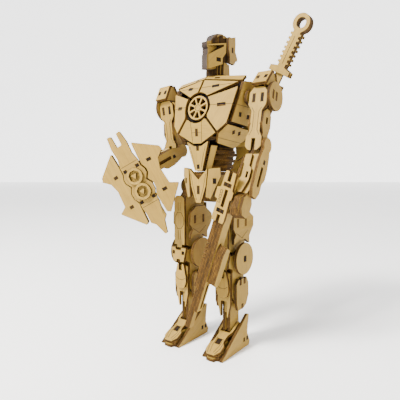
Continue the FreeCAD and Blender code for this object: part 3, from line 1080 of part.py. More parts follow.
def make_joints():
    """Every turning pin and the sword's slide, with the range that its neighbours allow."""
    hinge("waist_turn", "pelvis", "torso", WAIST, Vector(0, 0, 1), -8, 3)
    hinge("neck_turn", "torso", "head", NECK, Vector(0, 0, 1), -60, 50)
    pull = SWORD_PLACE.Rotation.multVec(Vector(0, 0, 1))
    JOINTS.append(("sword_draw", "slide", "torso", "sword", SWORD_RING, pull, 0, 100))
    face = shield_place().Rotation.multVec(Vector(0, -1, 0))
    hinge("shield_turn", "forearm_right", "shield", SHIELD_CENTRE, face, -30, 30)
    ranges = {"left": (0, 60, 0, 50), "right": (0, 35, 0, 20)}
    for word, side, swing, bend in (("left", 1, LEFT_SWING, LEFT_BEND), ("right", -1, RIGHT_SWING, RIGHT_BEND)):
        hub, upper = arm_chain(side, swing, bend)[:2]
        low, high, close, far = ranges[word]
        pin = Vector(side * RAISE_X, SHOULDER.y, SHOULDER.z)
        elbow = Vector(side * ARM_X, SHOULDER.y, ELBOW_Z)
        start = Vector(side * 45, SHOULDER.y, SHOULDER.z)
        hinge("shoulder_swing_" + word, "torso", "shoulder_" + word, start, Vector(-1, 0, 0), low, high)
        lift = hub.Rotation.multVec(Vector(0, -side, 0))
        hinge("arm_raise_" + word, "shoulder_" + word, "upper_arm_" + word, hub.multVec(pin), lift, 0, 22)
        fold = upper.Rotation.multVec(Vector(-1, 0, 0))
        hinge("elbow_bend_" + word, "upper_arm_" + word, "forearm_" + word, upper.multVec(elbow), fold, close, far)
        socket = Vector(side * LEG_X, HIP.y, HIP.z)
        hinge("hip_swing_" + word, "pelvis", "thigh_" + word, socket, Vector(1, 0, 0), -3, 30)
        bend = Vector(side * LEG_X, KNEE.y, KNEE.z)
        hinge("knee_bend_" + word, "thigh_" + word, "shin_" + word, bend, Vector(1, 0, 0), 0, 60)
        foot = Vector(side * LEG_X, ANKLE.y, ANKLE.z)
        hinge("ankle_rock_" + word, "shin_" + word, "foot_" + word, foot, Vector(1, 0, 0), -8, 8)


# ---------------------------------------------------------------- assembly

def build():
    chest()
    back()
    abdomen()
    pelvis()
    head()
    sword()
    scabbard()
    arm("left", 1, LEFT_SWING, LEFT_BEND)
    arm("right", -1, RIGHT_SWING, RIGHT_BEND)
    right_forearm()
    gun()
    shield()
    leg("left", 1)
    leg("right", -1)
    make_joints()


def origin_shift():
    """From the figure's own middle to the middle of the footprint of its whole box."""
    whole = Part.makeCompound([solid for solids in NODES.values() for solid in solids]).BoundBox
    return Vector(-(whole.XMin + whole.XMax) / 2, -(whole.YMin + whole.YMax) / 2, -whole.ZMin)


def export():
    os.makedirs("parts", exist_ok=True)
    shift = origin_shift()
    for node, solids in NODES.items():
        group = Part.makeCompound(solids)
        group.translate(shift)
        shape = group.Solids[0] if len(group.Solids) == 1 else group
        shape.exportStep("parts/%s.step" % node)


build()
if __name__ == "__main__":
    export()
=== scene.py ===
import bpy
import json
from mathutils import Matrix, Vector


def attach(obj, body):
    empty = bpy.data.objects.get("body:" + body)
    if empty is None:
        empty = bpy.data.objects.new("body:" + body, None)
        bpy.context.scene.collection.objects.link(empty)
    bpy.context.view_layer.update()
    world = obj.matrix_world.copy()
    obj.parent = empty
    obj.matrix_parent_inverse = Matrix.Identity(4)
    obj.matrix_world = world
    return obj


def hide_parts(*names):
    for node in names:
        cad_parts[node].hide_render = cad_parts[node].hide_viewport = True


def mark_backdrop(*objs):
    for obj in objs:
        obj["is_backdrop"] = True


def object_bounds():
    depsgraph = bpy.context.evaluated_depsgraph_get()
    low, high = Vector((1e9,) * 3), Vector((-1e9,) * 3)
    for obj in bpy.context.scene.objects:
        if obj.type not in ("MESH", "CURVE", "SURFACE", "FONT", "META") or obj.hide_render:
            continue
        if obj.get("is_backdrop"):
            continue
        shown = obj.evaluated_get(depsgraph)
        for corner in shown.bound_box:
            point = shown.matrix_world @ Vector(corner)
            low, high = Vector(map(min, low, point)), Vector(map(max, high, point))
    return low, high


bl_info = {
    "name": "Plywood Robot Figure",
    "version": (1, 0, 0),
    "blender": (4, 5, 0),
    "location": "View3D > Sidebar > Figure",
    "description": "Sanded faces, burnt edges and engraving for a jointed plywood robot figure",
    "category": "Object",
}

import json
import math
import random

import bpy
import numpy as np
from mathutils import Vector

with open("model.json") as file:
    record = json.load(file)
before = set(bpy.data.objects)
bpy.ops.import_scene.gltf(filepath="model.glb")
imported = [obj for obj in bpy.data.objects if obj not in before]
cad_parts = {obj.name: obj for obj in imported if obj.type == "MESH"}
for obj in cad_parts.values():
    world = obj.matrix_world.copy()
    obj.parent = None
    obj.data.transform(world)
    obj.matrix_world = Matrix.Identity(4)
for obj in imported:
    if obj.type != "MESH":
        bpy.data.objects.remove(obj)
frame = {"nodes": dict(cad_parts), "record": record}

MM = 0.001
SHEET = 3.0 * MM
GRID = 5                                # plies set apart stand this many to a row
WELD = 0.002 * MM                       # points of one ply this close are the same point
FLAT_TURN = math.radians(0.4)           # triangles that turn less than this are one face
SMOOTH_TURN = math.radians(25)          # faces that turn less than this are shaded as one surface
PARALLEL = 0.9995                       # normals this much alike count as one direction
SKIN = 0.08 * MM                        # a level face this near the sheet's surface is sanded
LINE_DEPTH = 0.5 * MM                   # one that lies deeper, down to this, is an engraved line's floor
DOWEL_DEPTH = 1.15                      # a dowel is thicker than this many sheets
DOWEL_WIDTH = 9 * MM                    # and slimmer than this
TAB_DEPTH = 0.96                        # a tab end is thinner than this many sheets
TAB_WIDTH = 10 * MM                     # and smaller than this
FULL_WALL = 1.0 * MM                    # a cut wall at least this high has its corners broken
WALL_TURN = 0.85                        # cosine over which a face and a wall are too flat to ease
DOWEL_TURN = 0.7                        # the same for the faces of a dowel
EASE_SHARES = (1.0, 0.6, 0.3, 0.0)      # shares of the eased width, tried until no face folds over
FOLD_AREA = 1e-6                        # square metres by which a folded face's triangles exceed it
SCORCH_AND_SHADE_TONE = 0.075                     # highest tone of a ply scorched darker, or darkened as painted shade
EYE_PLANE = 1.2 * MM                    # the faces behind the eye slots lie about this plane
EYE_REACH = 3.6 * MM                    # and no farther from it than this
CAMERA_TURN = math.radians(35.2)        # from the front towards the figure's left
CAMERA_DIP = 4.58                       # degrees below the level
CAMERA_REACH = 0.41905
CAMERA_HEIGHT = 0.18314
CAMERA_AIM = (0.0008, 0.0273)           # the upright line that the camera faces

HEAD = ("helmet_plies", "cheek_plates", "ear_plates", "neck")
BREAST = ("chest_side_panels", "chest_upper_panels", "chest_centre_panel", "chest_vent_wheel",
          "collar_plates", "flank_panels")
TRUNK = ("chest_frame", "back_plates", "abdomen_plates", "waist_plies")
HIPS = ("pelvis_plies", "hip_caps", "pelvis_pins", "crotch_plate", "hip_skirts")
SWORD = ("sword_blade", "sword_grip", "scabbard")
GUN = ("gun_body", "gun_receiver", "gun_fore_grip")
SHIELD = ("shield_blade", "shield_boss", "shield_wings")
ARM = ("shoulder_hub", "shoulder_cap", "arm_core", "arm_plates", "forearm_plies", "forearm_plates",
       "hand_plies")
LEG = ("thigh_core", "thigh_plates", "knee_discs", "shin_core", "shin_plates", "calf_plates")
FOOT = ("foot_soles", "foot_side_plates", "toe_cap")

# the helmet and neck plies are really scorched darker; the chest frame is darkened the same way as painted
# shade for the dim inside of the chest
SCORCHED_AND_SHADED = ("helmet_plies", "neck", "chest_frame")

FACE, EDGE, LINE, DOWEL = range(4)


# ---------------------------------------------------------------- settings

class FigureSizes(bpy.types.PropertyGroup):
    sheet: bpy.props.FloatProperty(
        name="Sheet", description="Thickness of the plywood sheet", default=SHEET, unit="LENGTH")
    ease: bpy.props.FloatProperty(
        name="Eased edge", description="Width of the broken corner along every cut", default=0.22 * MM,
        unit="LENGTH")
    room: bpy.props.FloatProperty(
        name="Room", description="Spacing of the plies while each is merged on its own", default=400.0 * MM,
        unit="LENGTH")


class FigureColours(bpy.types.PropertyGroup):
    pale: bpy.props.FloatVectorProperty(
        name="Pale birch", description="Lightest tone of the sanded face", default=(0.292, 0.184, 0.034),
        subtype="COLOR", size=3, min=0, max=1)
    honey: bpy.props.FloatVectorProperty(
        name="Honey birch", description="Darker streaks of the sanded face", default=(0.180, 0.102, 0.013),
        subtype="COLOR", size=3, min=0, max=1)
    smoke: bpy.props.FloatVectorProperty(
        name="Smoke", description="Browned floor of an engraved line", default=(0.030, 0.012, 0.0025),
        subtype="COLOR", size=3, min=0, max=1)
    char: bpy.props.FloatVectorProperty(
        name="Char", description="Darkest veneers of a burnt edge", default=(0.008, 0.003, 0.0006),
        subtype="COLOR", size=3, min=0, max=1)
    toast: bpy.props.FloatVectorProperty(
        name="Toast", description="Lighter veneers of a burnt edge", default=(0.120, 0.058, 0.008),
        subtype="COLOR", size=3, min=0, max=1)
    dowel: bpy.props.FloatVectorProperty(
        name="Dowel", description="Plain hardwood of the pins", default=(0.19, 0.10, 0.025),
        subtype="COLOR", size=3, min=0, max=1)
    floor: bpy.props.FloatVectorProperty(
        name="Floor", description="Pale floor under the figure", default=(0.98, 0.98, 0.98),
        subtype="COLOR", size=3, min=0, max=1)


# ---------------------------------------------------------------- materials

class Board:
    """A material's node tree, filled from left to right."""

    def __init__(self, name):
        self.material = bpy.data.materials.new(name)
        self.material.use_nodes = True
        self.tree = self.material.node_tree
        self.shader = self.tree.nodes["Principled BSDF"]
        self.count = 0

    def node(self, kind, **settings):
        made = self.tree.nodes.new(kind)
        self.count += 1
        made.location = (-1800 + 180 * (self.count % 9), 500 - 260 * (self.count // 9))
        for key, value in settings.items():
            setattr(made, key, value)
        return made

    def link(self, source, target):
        self.tree.links.new(source, target)

    def attribute(self, name):
        return self.node("ShaderNodeAttribute", attribute_name=name)

    def stretched(self, source, scale):
        mapping = self.node("ShaderNodeMapping")
        mapping.inputs["Scale"].default_value = scale
        self.link(source, mapping.inputs["Vector"])
        return mapping.outputs["Vector"]

    def noise(self, vector, scale, detail=3.0, rough=0.55, twist=0.0):
        made = self.node("ShaderNodeTexNoise")
        made.inputs["Scale"].default_value = scale
        made.inputs["Detail"].default_value = detail
        made.inputs["Roughness"].default_value = rough
        made.inputs["Distortion"].default_value = twist
        self.link(vector, made.inputs["Vector"])
        return made.outputs["Fac"]

    def ramp(self, factor, stops):
        made = self.node("ShaderNodeValToRGB")
        while len(made.color_ramp.elements) < len(stops):
            made.color_ramp.elements.new(0.5)
        for element, (place, colour) in zip(made.color_ramp.elements, stops):
            element.position = place
            element.color = tuple(colour) + (1.0,)
        self.link(factor, made.inputs["Fac"])
        return made.outputs["Color"]

    def maths(self, kind, first, second):
        made = self.node("ShaderNodeMath", operation=kind)
        for socket, value in zip(made.inputs, (first, second)):
            if isinstance(value, (int, float)):
                socket.default_value = value
            else:
                self.link(value, socket)
        return made.outputs[0]

    def mix(self, factor, first, second, blend="MIX"):
        made = self.node("ShaderNodeMix", data_type="RGBA", blend_type=blend)
        sockets = [made.inputs[0], made.inputs[6], made.inputs[7]]
        for socket, value in zip(sockets, (factor, first, second)):
            if isinstance(value, (int, float)):
                socket.default_value = value
            elif isinstance(value, tuple):
                socket.default_value = value + (1.0,)
            else:
                self.link(value, socket)
        return made.outputs[2]

    def bump(self, height, strength, distance):
        made = self.node("ShaderNodeBump")
        made.inputs["Strength"].default_value = strength
        made.inputs["Distance"].default_value = distance
        self.link(height, made.inputs["Height"])
        self.link(made.outputs["Normal"], self.shader.inputs["Normal"])

    def spread(self, factor, low, high):
        made = self.node("ShaderNodeMapRange")
        made.inputs["To Min"].default_value = low
        made.inputs["To Max"].default_value = high
        self.link(factor, made.inputs["Value"])
        return made.outputs["Result"]


def grey(value):
    return (value, value, value)


def birch_face(colours):
    """Sanded birch veneer: fine long grain, soft clouds, pores and drifts of a darker tone."""
    board = Board("Birch face")
    ply = board.attribute("ply").outputs["Vector"]
    tone = board.attribute("tone").outputs["Fac"]
    streak = board.noise(board.stretched(ply, (30, 900, 300)), 1.0, 4.0, 0.6, 0.4)
    cloud = board.noise(board.stretched(ply, (55, 120, 55)), 1.0, 2.0, 0.5, 0.8)
    pore = board.noise(board.stretched(ply, (260, 4200, 800)), 1.0, 2.0, 0.5)
    pale = tuple(colours.pale)
    honey = tuple(colours.honey)
    body = board.ramp(streak, [(0.30, honey), (0.52, pale), (1.0, pale)])
    soft = board.mix(0.42, pale, body)
    shade = board.ramp(cloud, [(0.25, grey(0.86)), (0.75, grey(1.04))])
    wood = board.mix(1.0, soft, shade, "MULTIPLY")
    sheet = board.ramp(tone, [(0.0, (0.88, 0.85, 0.80)), (0.5, (1.0, 1.0, 1.0)), (1.0, (1.05, 1.02, 0.96))])
    wood = board.mix(1.0, wood, sheet, "MULTIPLY")
    dots = board.ramp(pore, [(0.24, grey(0.72)), (0.34, grey(1.0))])
    wood = board.mix(0.55, wood, board.mix(1.0, wood, dots, "MULTIPLY"))
    drift = board.noise(board.stretched(ply, (420, 420, 420)), 1.0, 3.0, 0.6)
    veil = board.ramp(drift, [(0.58, grey(0.0)), (0.80, grey(0.30))])
    tint = board.mix(veil, wood, honey)
    board.link(tint, board.shader.inputs["Base Color"])
    board.link(board.spread(streak, 0.50, 0.66), board.shader.inputs["Roughness"])
    board.shader.inputs["Specular IOR Level"].default_value = 0.18
    board.bump(board.maths("ADD", streak, board.maths("MULTIPLY", pore, 0.5)), 0.30, 0.00006)
    return board.material


def burnt_edge(colours):
    """Laser-burnt edge: dark veneer layers along the sheet with uneven toasting."""
    board = Board("Burnt edge and shade")
    ply = board.attribute("ply").outputs["Vector"]
    parts = board.node("ShaderNodeSeparateXYZ")
    board.link(ply, parts.inputs["Vector"])
    wobble = board.noise(board.stretched(ply, (240, 240, 0)), 1.0, 2.0, 0.5)
    depth = board.maths("MULTIPLY", parts.outputs["Z"], 1.0 / SHEET)
    depth = board.maths("ADD", depth, board.maths("MULTIPLY", board.maths("SUBTRACT", wobble, 0.5), 0.10))
    char = tuple(colours.char)
    toast = tuple(colours.toast)
    warm = tuple(0.5 * (a + b) for a, b in zip(char, toast))
    layers = board.ramp(depth, [
        (0.0, char), (0.055, char), (0.10, toast), (0.29, toast), (0.34, char), (0.46, warm),
        (0.55, warm), (0.66, char), (0.72, toast), (0.90, toast), (0.945, char), (1.0, char)])
    patch = board.noise(board.stretched(ply, (150, 150, 500)), 1.0, 4.0, 0.6, 0.6)
    fibre = board.noise(board.stretched(ply, (1500, 1500, 260)), 1.0, 3.0, 0.6)
    shade = board.ramp(patch, [(0.28, grey(0.34)), (0.56, grey(0.95)), (0.78, grey(1.85))])
    wood = board.mix(1.0, layers, shade, "MULTIPLY")
    threads = board.ramp(fibre, [(0.3, grey(0.45)), (0.65, grey(1.3))])
    wood = board.mix(0.5, wood, board.mix(1.0, wood, threads, "MULTIPLY"))
    tone = board.attribute("tone").outputs["Fac"]
    # a low tone darkens the edge: real scorch on the helmet and neck, painted shade on the chest frame; on
    # other plies the tone varies at random
    scorch_and_shade = board.ramp(tone, [(0.0, grey(0.22)), (0.05, grey(0.22)), (0.1, grey(0.7)), (1.0, grey(1.2))])
    wood = board.mix(1.0, wood, scorch_and_shade, "MULTIPLY")
    board.link(wood, board.shader.inputs["Base Color"])
    board.link(board.spread(patch, 0.62, 0.85), board.shader.inputs["Roughness"])
    board.shader.inputs["Specular IOR Level"].default_value = 0.12
    board.bump(fibre, 0.45, 0.00010)
    return board.material


def engraved_line(colours):
    """Floor of an engraved line: browned wood with small darker burns."""
    board = Board("Engraved line and slot shade")
    ply = board.attribute("ply").outputs["Vector"]
    burn = board.noise(board.stretched(ply, (700, 700, 700)), 1.0, 3.0, 0.6)
    wood = board.ramp(burn, [(0.3, tuple(colours.char)), (0.8, tuple(colours.smoke))])
    board.link(wood, board.shader.inputs["Base Color"])
    board.link(board.spread(burn, 0.7, 0.9), board.shader.inputs["Roughness"])
    board.bump(burn, 0.4, 0.00008)
    return board.material


def turned_dowel(colours):
    """Plain round pin with straight grain along its length."""
    board = Board("Turned dowel")
    ply = board.attribute("ply").outputs["Vector"]
    grain = board.noise(board.stretched(ply, (900, 900, 40)), 1.0, 3.0, 0.6)
    dark = tuple(0.45 * c for c in colours.dowel)
    wood = board.ramp(grain, [(0.3, dark), (0.62, tuple(colours.dowel))])
    board.link(wood, board.shader.inputs["Base Color"])
    board.link(board.spread(grain, 0.5, 0.7), board.shader.inputs["Roughness"])
    board.bump(grain, 0.3, 0.00008)
    return board.material


def finishes():
    """The four finishes, made once and kept by name."""
    colours = bpy.context.scene.figure_colours
    makers = {"Birch face": birch_face, "Burnt edge and shade": burnt_edge, "Engraved line and slot shade": engraved_line,
              "Turned dowel": turned_dowel}
    return [bpy.data.materials.get(name) or maker(colours) for name, maker in makers.items()]


# ---------------------------------------------------------------- reading a merged copy

def read_values(items, field, width=1, kind=np.float64):
    """A field of all the items, with a row for each where it has several numbers."""
    values = np.empty(len(items) * width, kind)
    items.foreach_get(field, values)
    return values.reshape(-1, width) if width > 1 else values


def number_sheets(mesh):
    """A number for every vertex: the triangles of one closed ply follow each other in the mesh."""
    points = read_values(mesh.vertices, "co", 3, np.float32)
    keys = np.round(points / (0.001 * MM)).astype(np.int64)
    corner = np.unique(keys, axis=0, return_inverse=True)[1].ravel()
    sheet = np.zeros(len(mesh.vertices), np.int32)
    waiting = set()
    number = 0
    for face in mesh.polygons:
        ring = [int(corner[v]) for v in face.vertices]
        for first, second in zip(ring, ring[1:] + ring[:1]):
            if first == second:
                continue
            if (second, first) in waiting:
                waiting.remove((second, first))
            else:
                waiting.add((first, second))
        sheet[list(face.vertices)] = number
        if not waiting:
            number += 1
    return sheet


def sheet_frame(points, normals, areas):
    """Unit axes of one ply: along the grain, across it and through the sheet."""
    best = None
    for index in np.argsort(-areas)[:10]:
        total = areas[np.abs(normals @ normals[index]) > PARALLEL].sum()
        if best is None or total > best[0] * 1.001:
            best = (total, normals[index])
    through = best[1] / np.linalg.norm(best[1])
    first = np.argmax(np.abs(through) > 0.01)
    if through[first] < 0:
        through = -through
    helper = np.array([0.0, 0.0, 1.0]) if abs(through[2]) < 0.8 else np.array([0.0, 1.0, 0.0])
    a = np.cross(helper, through)
    a /= np.linalg.norm(a)
    b = np.cross(through, a)
    flat = np.stack([points @ a, points @ b], 1)
    flat = flat - flat.mean(0)
    values, vectors = np.linalg.eigh(flat.T @ flat)
    if values[1] > values[0] * 1.25:
        grain = vectors[0, 1] * a + vectors[1, 1] * b
    else:
        grain = b
    return grain, np.cross(through, grain), through


def face_kinds(level, facing, thick):
    """Sanded faces, engraved floors and cut walls of a ply, by how deep in the sheet each face lies."""
    outer = (level < SKIN) | (level > thick - SKIN)
    shallow = (level < LINE_DEPTH) | (level > thick - LINE_DEPTH)
    kind = np.full(len(level), EDGE)
    kind[facing & outer] = FACE
    kind[facing & ~outer & shallow] = LINE
    return kind


def read_plies(mesh, sheet, seed):
    """Sort the faces of every ply and note each point's place in its own sheet."""
    points = read_values(mesh.vertices, "co", 3)
    normals = read_values(mesh.polygons, "normal", 3)
    areas = read_values(mesh.polygons, "area")
    centres = read_values(mesh.polygons, "center", 3)
    label = read_values(mesh.attributes["sheet_number"].data, "value", kind=np.int32)
    owner = np.array([label[face.vertices[0]] for face in mesh.polygons])
    kinds = np.zeros(len(areas), np.int32)
    place = np.zeros((len(points), 3))
    tone = np.zeros(len(points))
    chance = random.Random(seed)
    for number in np.unique(label):
        mine = label == number
        own = owner == number
        if not own.any():
            continue
        grain, across, through = sheet_frame(points[mine], normals[own], areas[own])
        depth = points[mine] @ through
        low = depth.min()
        thick = depth.max() - low
        widths = (np.ptp(points[mine] @ grain), np.ptp(points[mine] @ across))
        place[mine, 0] = points[mine] @ grain + chance.uniform(0, 3)
        place[mine, 1] = points[mine] @ across + chance.uniform(0, 3)
        place[mine, 2] = depth - low
        tone[mine] = chance.uniform(0.1, 1.0)
        level = centres[own] @ through - low
        facing = np.abs(normals[own] @ through) > 0.999
        kind = face_kinds(level, facing, thick)
        if thick > sheet * DOWEL_DEPTH and min(widths) < DOWEL_WIDTH:
            kind[:] = DOWEL
        elif thick < sheet * TAB_DEPTH and max(widths) < TAB_WIDTH:
            kind[:] = EDGE
            tone[mine] = 0.0
            place[mine] = place[mine][:, (0, 2, 1)]
            place[mine, 2] = np.abs(place[mine, 2] % sheet)
        kinds[own] = kind
    return kinds, place, tone


def write_points(mesh, name, kind, values):
    """Keep a value for every point of the mesh under this name."""
    attribute = mesh.attributes.get(name) or mesh.attributes.new(name, kind, "POINT")
    field = "vector" if kind == "FLOAT_VECTOR" else "value"
    number = np.int32 if kind == "INT" else np.float32
    attribute.data.foreach_set(field, np.ascontiguousarray(values, dtype=number).ravel())


def shift_sheets(mesh, way):
    """Set the plies of a copy apart, so that only points of the same ply merge, or bring them back."""
    room = bpy.context.scene.figure_sizes.room
    sheet = read_values(mesh.attributes["sheet_number"].data, "value", kind=np.int32)
    points = read_values(mesh.vertices, "co", 3, np.float32)
    cell = np.stack([sheet % GRID, sheet // GRID % GRID, sheet // GRID ** 2], 1)
    points = points.astype(np.float64) + way * room * cell
    mesh.vertices.foreach_set("co", points.astype(np.float32).ravel())
    mesh.update()


# ---------------------------------------------------------------- making a piece

def only(piece):
    """Select this piece alone."""
    bpy.ops.object.select_all(action="DESELECT")
    piece.select_set(True)
    bpy.context.view_layer.objects.active = piece


def merged_copy(node):
    """A copy of a CAD node with its own mesh, its triangles joined into flat faces."""
    source = frame["nodes"][node]
    only(source)
    bpy.ops.object.duplicate()
    piece = bpy.context.view_layer.objects.active
    piece.name = "sawn_" + node
    piece.data.name = piece.name
    for key in list(piece.keys()):
        del piece[key]
    piece.data.materials.clear()
    apart = number_sheets(piece.data)
    write_points(piece.data, "sheet_number", "INT", apart)
    shift_sheets(piece.data, 1)
    bpy.ops.object.mode_set(mode="EDIT")
    bpy.ops.mesh.select_all(action="SELECT")
    bpy.ops.mesh.remove_doubles(threshold=WELD)
    bpy.ops.mesh.dissolve_limited(angle_limit=FLAT_TURN, delimit={"NORMAL"})
    bpy.ops.object.mode_set(mode="OBJECT")
    shift_sheets(piece.data, -1)
    return piece


def mark_corners(mesh, kinds, place):
    """Weigh the edges to be eased: between a sanded face and a full wall, and all corners of a dowel."""
    depth = place[:, 2]
    wall = []
    for face, kind in zip(mesh.polygons, kinds):
        levels = depth[list(face.vertices)]
        wall.append(kind == EDGE and levels.max() - levels.min() > FULL_WALL)
    beside = {}
    for face in mesh.polygons:
        for key in face.edge_keys:
            beside.setdefault(key, []).append(face.index)
    weights = np.zeros(len(mesh.edges), np.float32)
    for edge in mesh.edges:
        pair = beside.get(tuple(sorted(edge.vertices)), [])
        if len(pair) != 2:
            continue
        first, second = pair
        turn = mesh.polygons[first].normal.dot(mesh.polygons[second].normal)
        if kinds[first] == DOWEL:
            weights[edge.index] = turn < DOWEL_TURN
        elif (kinds[first] == FACE and wall[second]) or (kinds[second] == FACE and wall[first]):
            weights[edge.index] = turn < WALL_TURN
    layer = mesh.attributes.new("bevel_weight_edge", "FLOAT", "EDGE")
    layer.data.foreach_set("value", weights)


def ease_edges(piece, width, finish):
    """Break the sharp corners of every ply a little, as the beam scorches them."""
    bevel = piece.modifiers.new("Eased edge", "BEVEL")
    bevel.width = width
    bevel.segments = 1
    bevel.limit_method = "WEIGHT"
    bevel.use_clamp_overlap = False
    bevel.loop_slide = False
    bevel.material = finish
    bpy.ops.object.modifier_apply(modifier=bevel.name)


def folded(mesh):
    """True if easing has folded any face over itself."""
    mesh.calc_loop_triangles()
    drawn = np.zeros(len(mesh.polygons))
    for triangle in mesh.loop_triangles:
        drawn[triangle.polygon_index] += triangle.area
    areas = read_values(mesh.polygons, "area")
    return bool((np.abs(drawn - areas) > FOLD_AREA).any())


def slot_shade_faces(mesh):
    """Faces near the middle plane of the helmet, which show only through its eye slots; they take the dark
    engraved-line finish as painted shade deep inside the slots.
    """
    centres = read_values(mesh.polygons, "center", 3)
    return np.abs(centres[:, 0] - EYE_PLANE) < EYE_REACH


def read_and_ease(node, slot, width):
    """A merged copy with its finishes laid on and its corners broken by this width."""
    sizes = bpy.context.scene.figure_sizes
    piece = merged_copy(node)
    mesh = piece.data
    for finish in finishes():
        mesh.materials.append(finish)
    kinds, place, tone = read_plies(mesh, sizes.sheet, node)
    if slot == "dowel":
        kinds[:] = DOWEL
    # darken these plies: real scorch on the helmet and neck, painted shade on the chest frame
    if node in SCORCHED_AND_SHADED:
        tone = np.minimum(tone, SCORCH_AND_SHADE_TONE)
    # the chest frame's sanded faces take the dark burnt-edge finish too, as painted shade for the inside of
    # the chest
    if node == "chest_frame":
        kinds[kinds == FACE] = EDGE
    # the helmet's middle faces take the dark engraved-line finish as painted shade inside the eye slots
    if node == "helmet_plies":
        kinds[slot_shade_faces(mesh)] = LINE
    mesh.polygons.foreach_set("material_index", kinds)
    write_points(mesh, "ply", "FLOAT_VECTOR", place)
    write_points(mesh, "tone", "FLOAT", tone)
    if width > 0:
        mark_corners(mesh, kinds, place)
        only(piece)
        ease_edges(piece, width, DOWEL if slot == "dowel" else EDGE)
    return piece


def sawn_piece(node, slot="birch_ply"):
    """One CAD node as finished plywood, riding on its own body."""
    ease = bpy.context.scene.figure_sizes.ease
    for share in EASE_SHARES:
        piece = read_and_ease(node, slot, ease * share)
        if share == 0 or not folded(piece.data):
            break
        bpy.data.objects.remove(piece)
    only(piece)
    bpy.ops.object.shade_smooth_by_angle(angle=SMOOTH_TURN)
    body = next(name for name, nodes in frame["record"]["behaviour"]["bodies"].items() if node in nodes)
    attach(piece, body)
    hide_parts(node)
    return piece


def sawn_group(names, sides):
    """Finish every named node, on each side where it comes in pairs."""
    for side in sides:
        for name in names:
            node = name + side
            if node not in frame["nodes"]:
                raise RuntimeError("no CAD node named " + node)
            sawn_piece(node, "dowel" if node == "pelvis_pins" else "birch_ply")


# ---------------------------------------------------------------- operators

class SawnGroup:
    """What the operators that finish a group of pieces share."""
    sides = ("",)

    def execute(self, context):
        sawn_group(self.nodes, self.sides)
        return {"FINISHED"}


class FIGURE_OT_head(SawnGroup, bpy.types.Operator):
    """Helmet plies, cheek and ear plates and the neck"""
    bl_idname = "figure.head"
    bl_label = "Head"
    nodes = HEAD


class FIGURE_OT_breast(SawnGroup, bpy.types.Operator):
    """Faceted breast armour, collar, flanks and the vent wheel"""
    bl_idname = "figure.breast"
    bl_label = "Breast armour"
    nodes = BREAST


class FIGURE_OT_trunk(SawnGroup, bpy.types.Operator):
    """Ribs, back plates, belly plates and waist plies"""
    bl_idname = "figure.trunk"
    bl_label = "Trunk"
    nodes = TRUNK


class FIGURE_OT_hips(SawnGroup, bpy.types.Operator):
    """Pelvis plies, axle and caps, crotch plate and skirts"""
    bl_idname = "figure.hips"
    bl_label = "Hips"
    nodes = HIPS


class FIGURE_OT_sword(SawnGroup, bpy.types.Operator):
    """Ring-hilted sword and its scabbard"""
    bl_idname = "figure.sword"
    bl_label = "Sword"
    nodes = SWORD


class FIGURE_OT_arms(SawnGroup, bpy.types.Operator):
    """Both arms from the shoulder hubs to the fists"""
    bl_idname = "figure.arms"
    bl_label = "Arms"
    nodes = ARM
    sides = ("_left", "_right")


class FIGURE_OT_gun(SawnGroup, bpy.types.Operator):
    """Long gun with its receiver plate and fore grip"""
    bl_idname = "figure.gun"
    bl_label = "Gun"
    nodes = GUN


class FIGURE_OT_shield(SawnGroup, bpy.types.Operator):
    """Forked shield blade, boss plate and folded wings"""
    bl_idname = "figure.shield"
    bl_label = "Shield"
    nodes = SHIELD


class FIGURE_OT_legs(SawnGroup, bpy.types.Operator):
    """Thighs, knees, shins and calves of both legs"""
    bl_idname = "figure.legs"
    bl_label = "Legs"
    nodes = LEG
    sides = ("_left", "_right")


class FIGURE_OT_feet(SawnGroup, bpy.types.Operator):
    """Soles, side plates and sloped toe caps"""
    bl_idname = "figure.feet"
    bl_label = "Feet"
    nodes = FOOT
    sides = ("_left", "_right")


def soft_light(name, place, aim, size, power, colour):
    bpy.ops.object.light_add(type="AREA", location=place)
    lamp = bpy.context.object
    lamp.name = name
    lamp.data.size = size
    lamp.data.energy = power
    lamp.data.color = colour
    lamp.rotation_euler = (Vector(aim) - Vector(place)).to_track_quat("-Z", "Y").to_euler()
    return lamp


def sunlight(place, aim):
    bpy.ops.object.light_add(type="SUN", location=place)
    sun = bpy.context.object
    sun.name = "sun"
    sun.data.energy = 3.2
    sun.data.angle = math.radians(30)
    sun.rotation_euler = (Vector(aim) - sun.location).to_track_quat("-Z", "Y").to_euler()
    return sun


def faint_clouds(board, tone, scale):
    """Give a board a nearly even tone, clouded at this scale, and hand back its colour."""
    place = board.node("ShaderNodeTexCoord").outputs["Object"]
    haze = board.noise(place, scale, 2.0)
    shade = board.ramp(haze, [(0.3, tuple(0.985 * c for c in tone)), (0.7, tone)])
    board.link(shade, board.shader.inputs["Base Color"])
    board.shader.inputs["Roughness"].default_value = 0.95
    return shade


def lay_floor(tone):
    bpy.ops.mesh.primitive_plane_add(size=24, location=(0, 0, 0))
    floor = bpy.context.object
    floor.name = "floor"
    board = Board("Pale floor")
    faint_clouds(board, tone, 3.0)
    board.shader.inputs["Specular IOR Level"].default_value = 0.0
    floor.data.materials.append(board.material)
    return floor


def raise_backdrop(tone, reach):
    """A lit wall behind the figure, square to the camera."""
    away = (-reach * math.sin(CAMERA_TURN), reach * math.cos(CAMERA_TURN), 0)
    bpy.ops.mesh.primitive_plane_add(size=16, location=away, rotation=(math.radians(90), 0, CAMERA_TURN))
    wall = bpy.context.object
    wall.name = "backdrop"
    board = Board("Lit backdrop")
    shade = faint_clouds(board, tone, 1.5)
    board.link(shade, board.shader.inputs["Emission Color"])
    board.shader.inputs["Emission Strength"].default_value = 1.6
    wall.data.materials.append(board.material)
    return wall


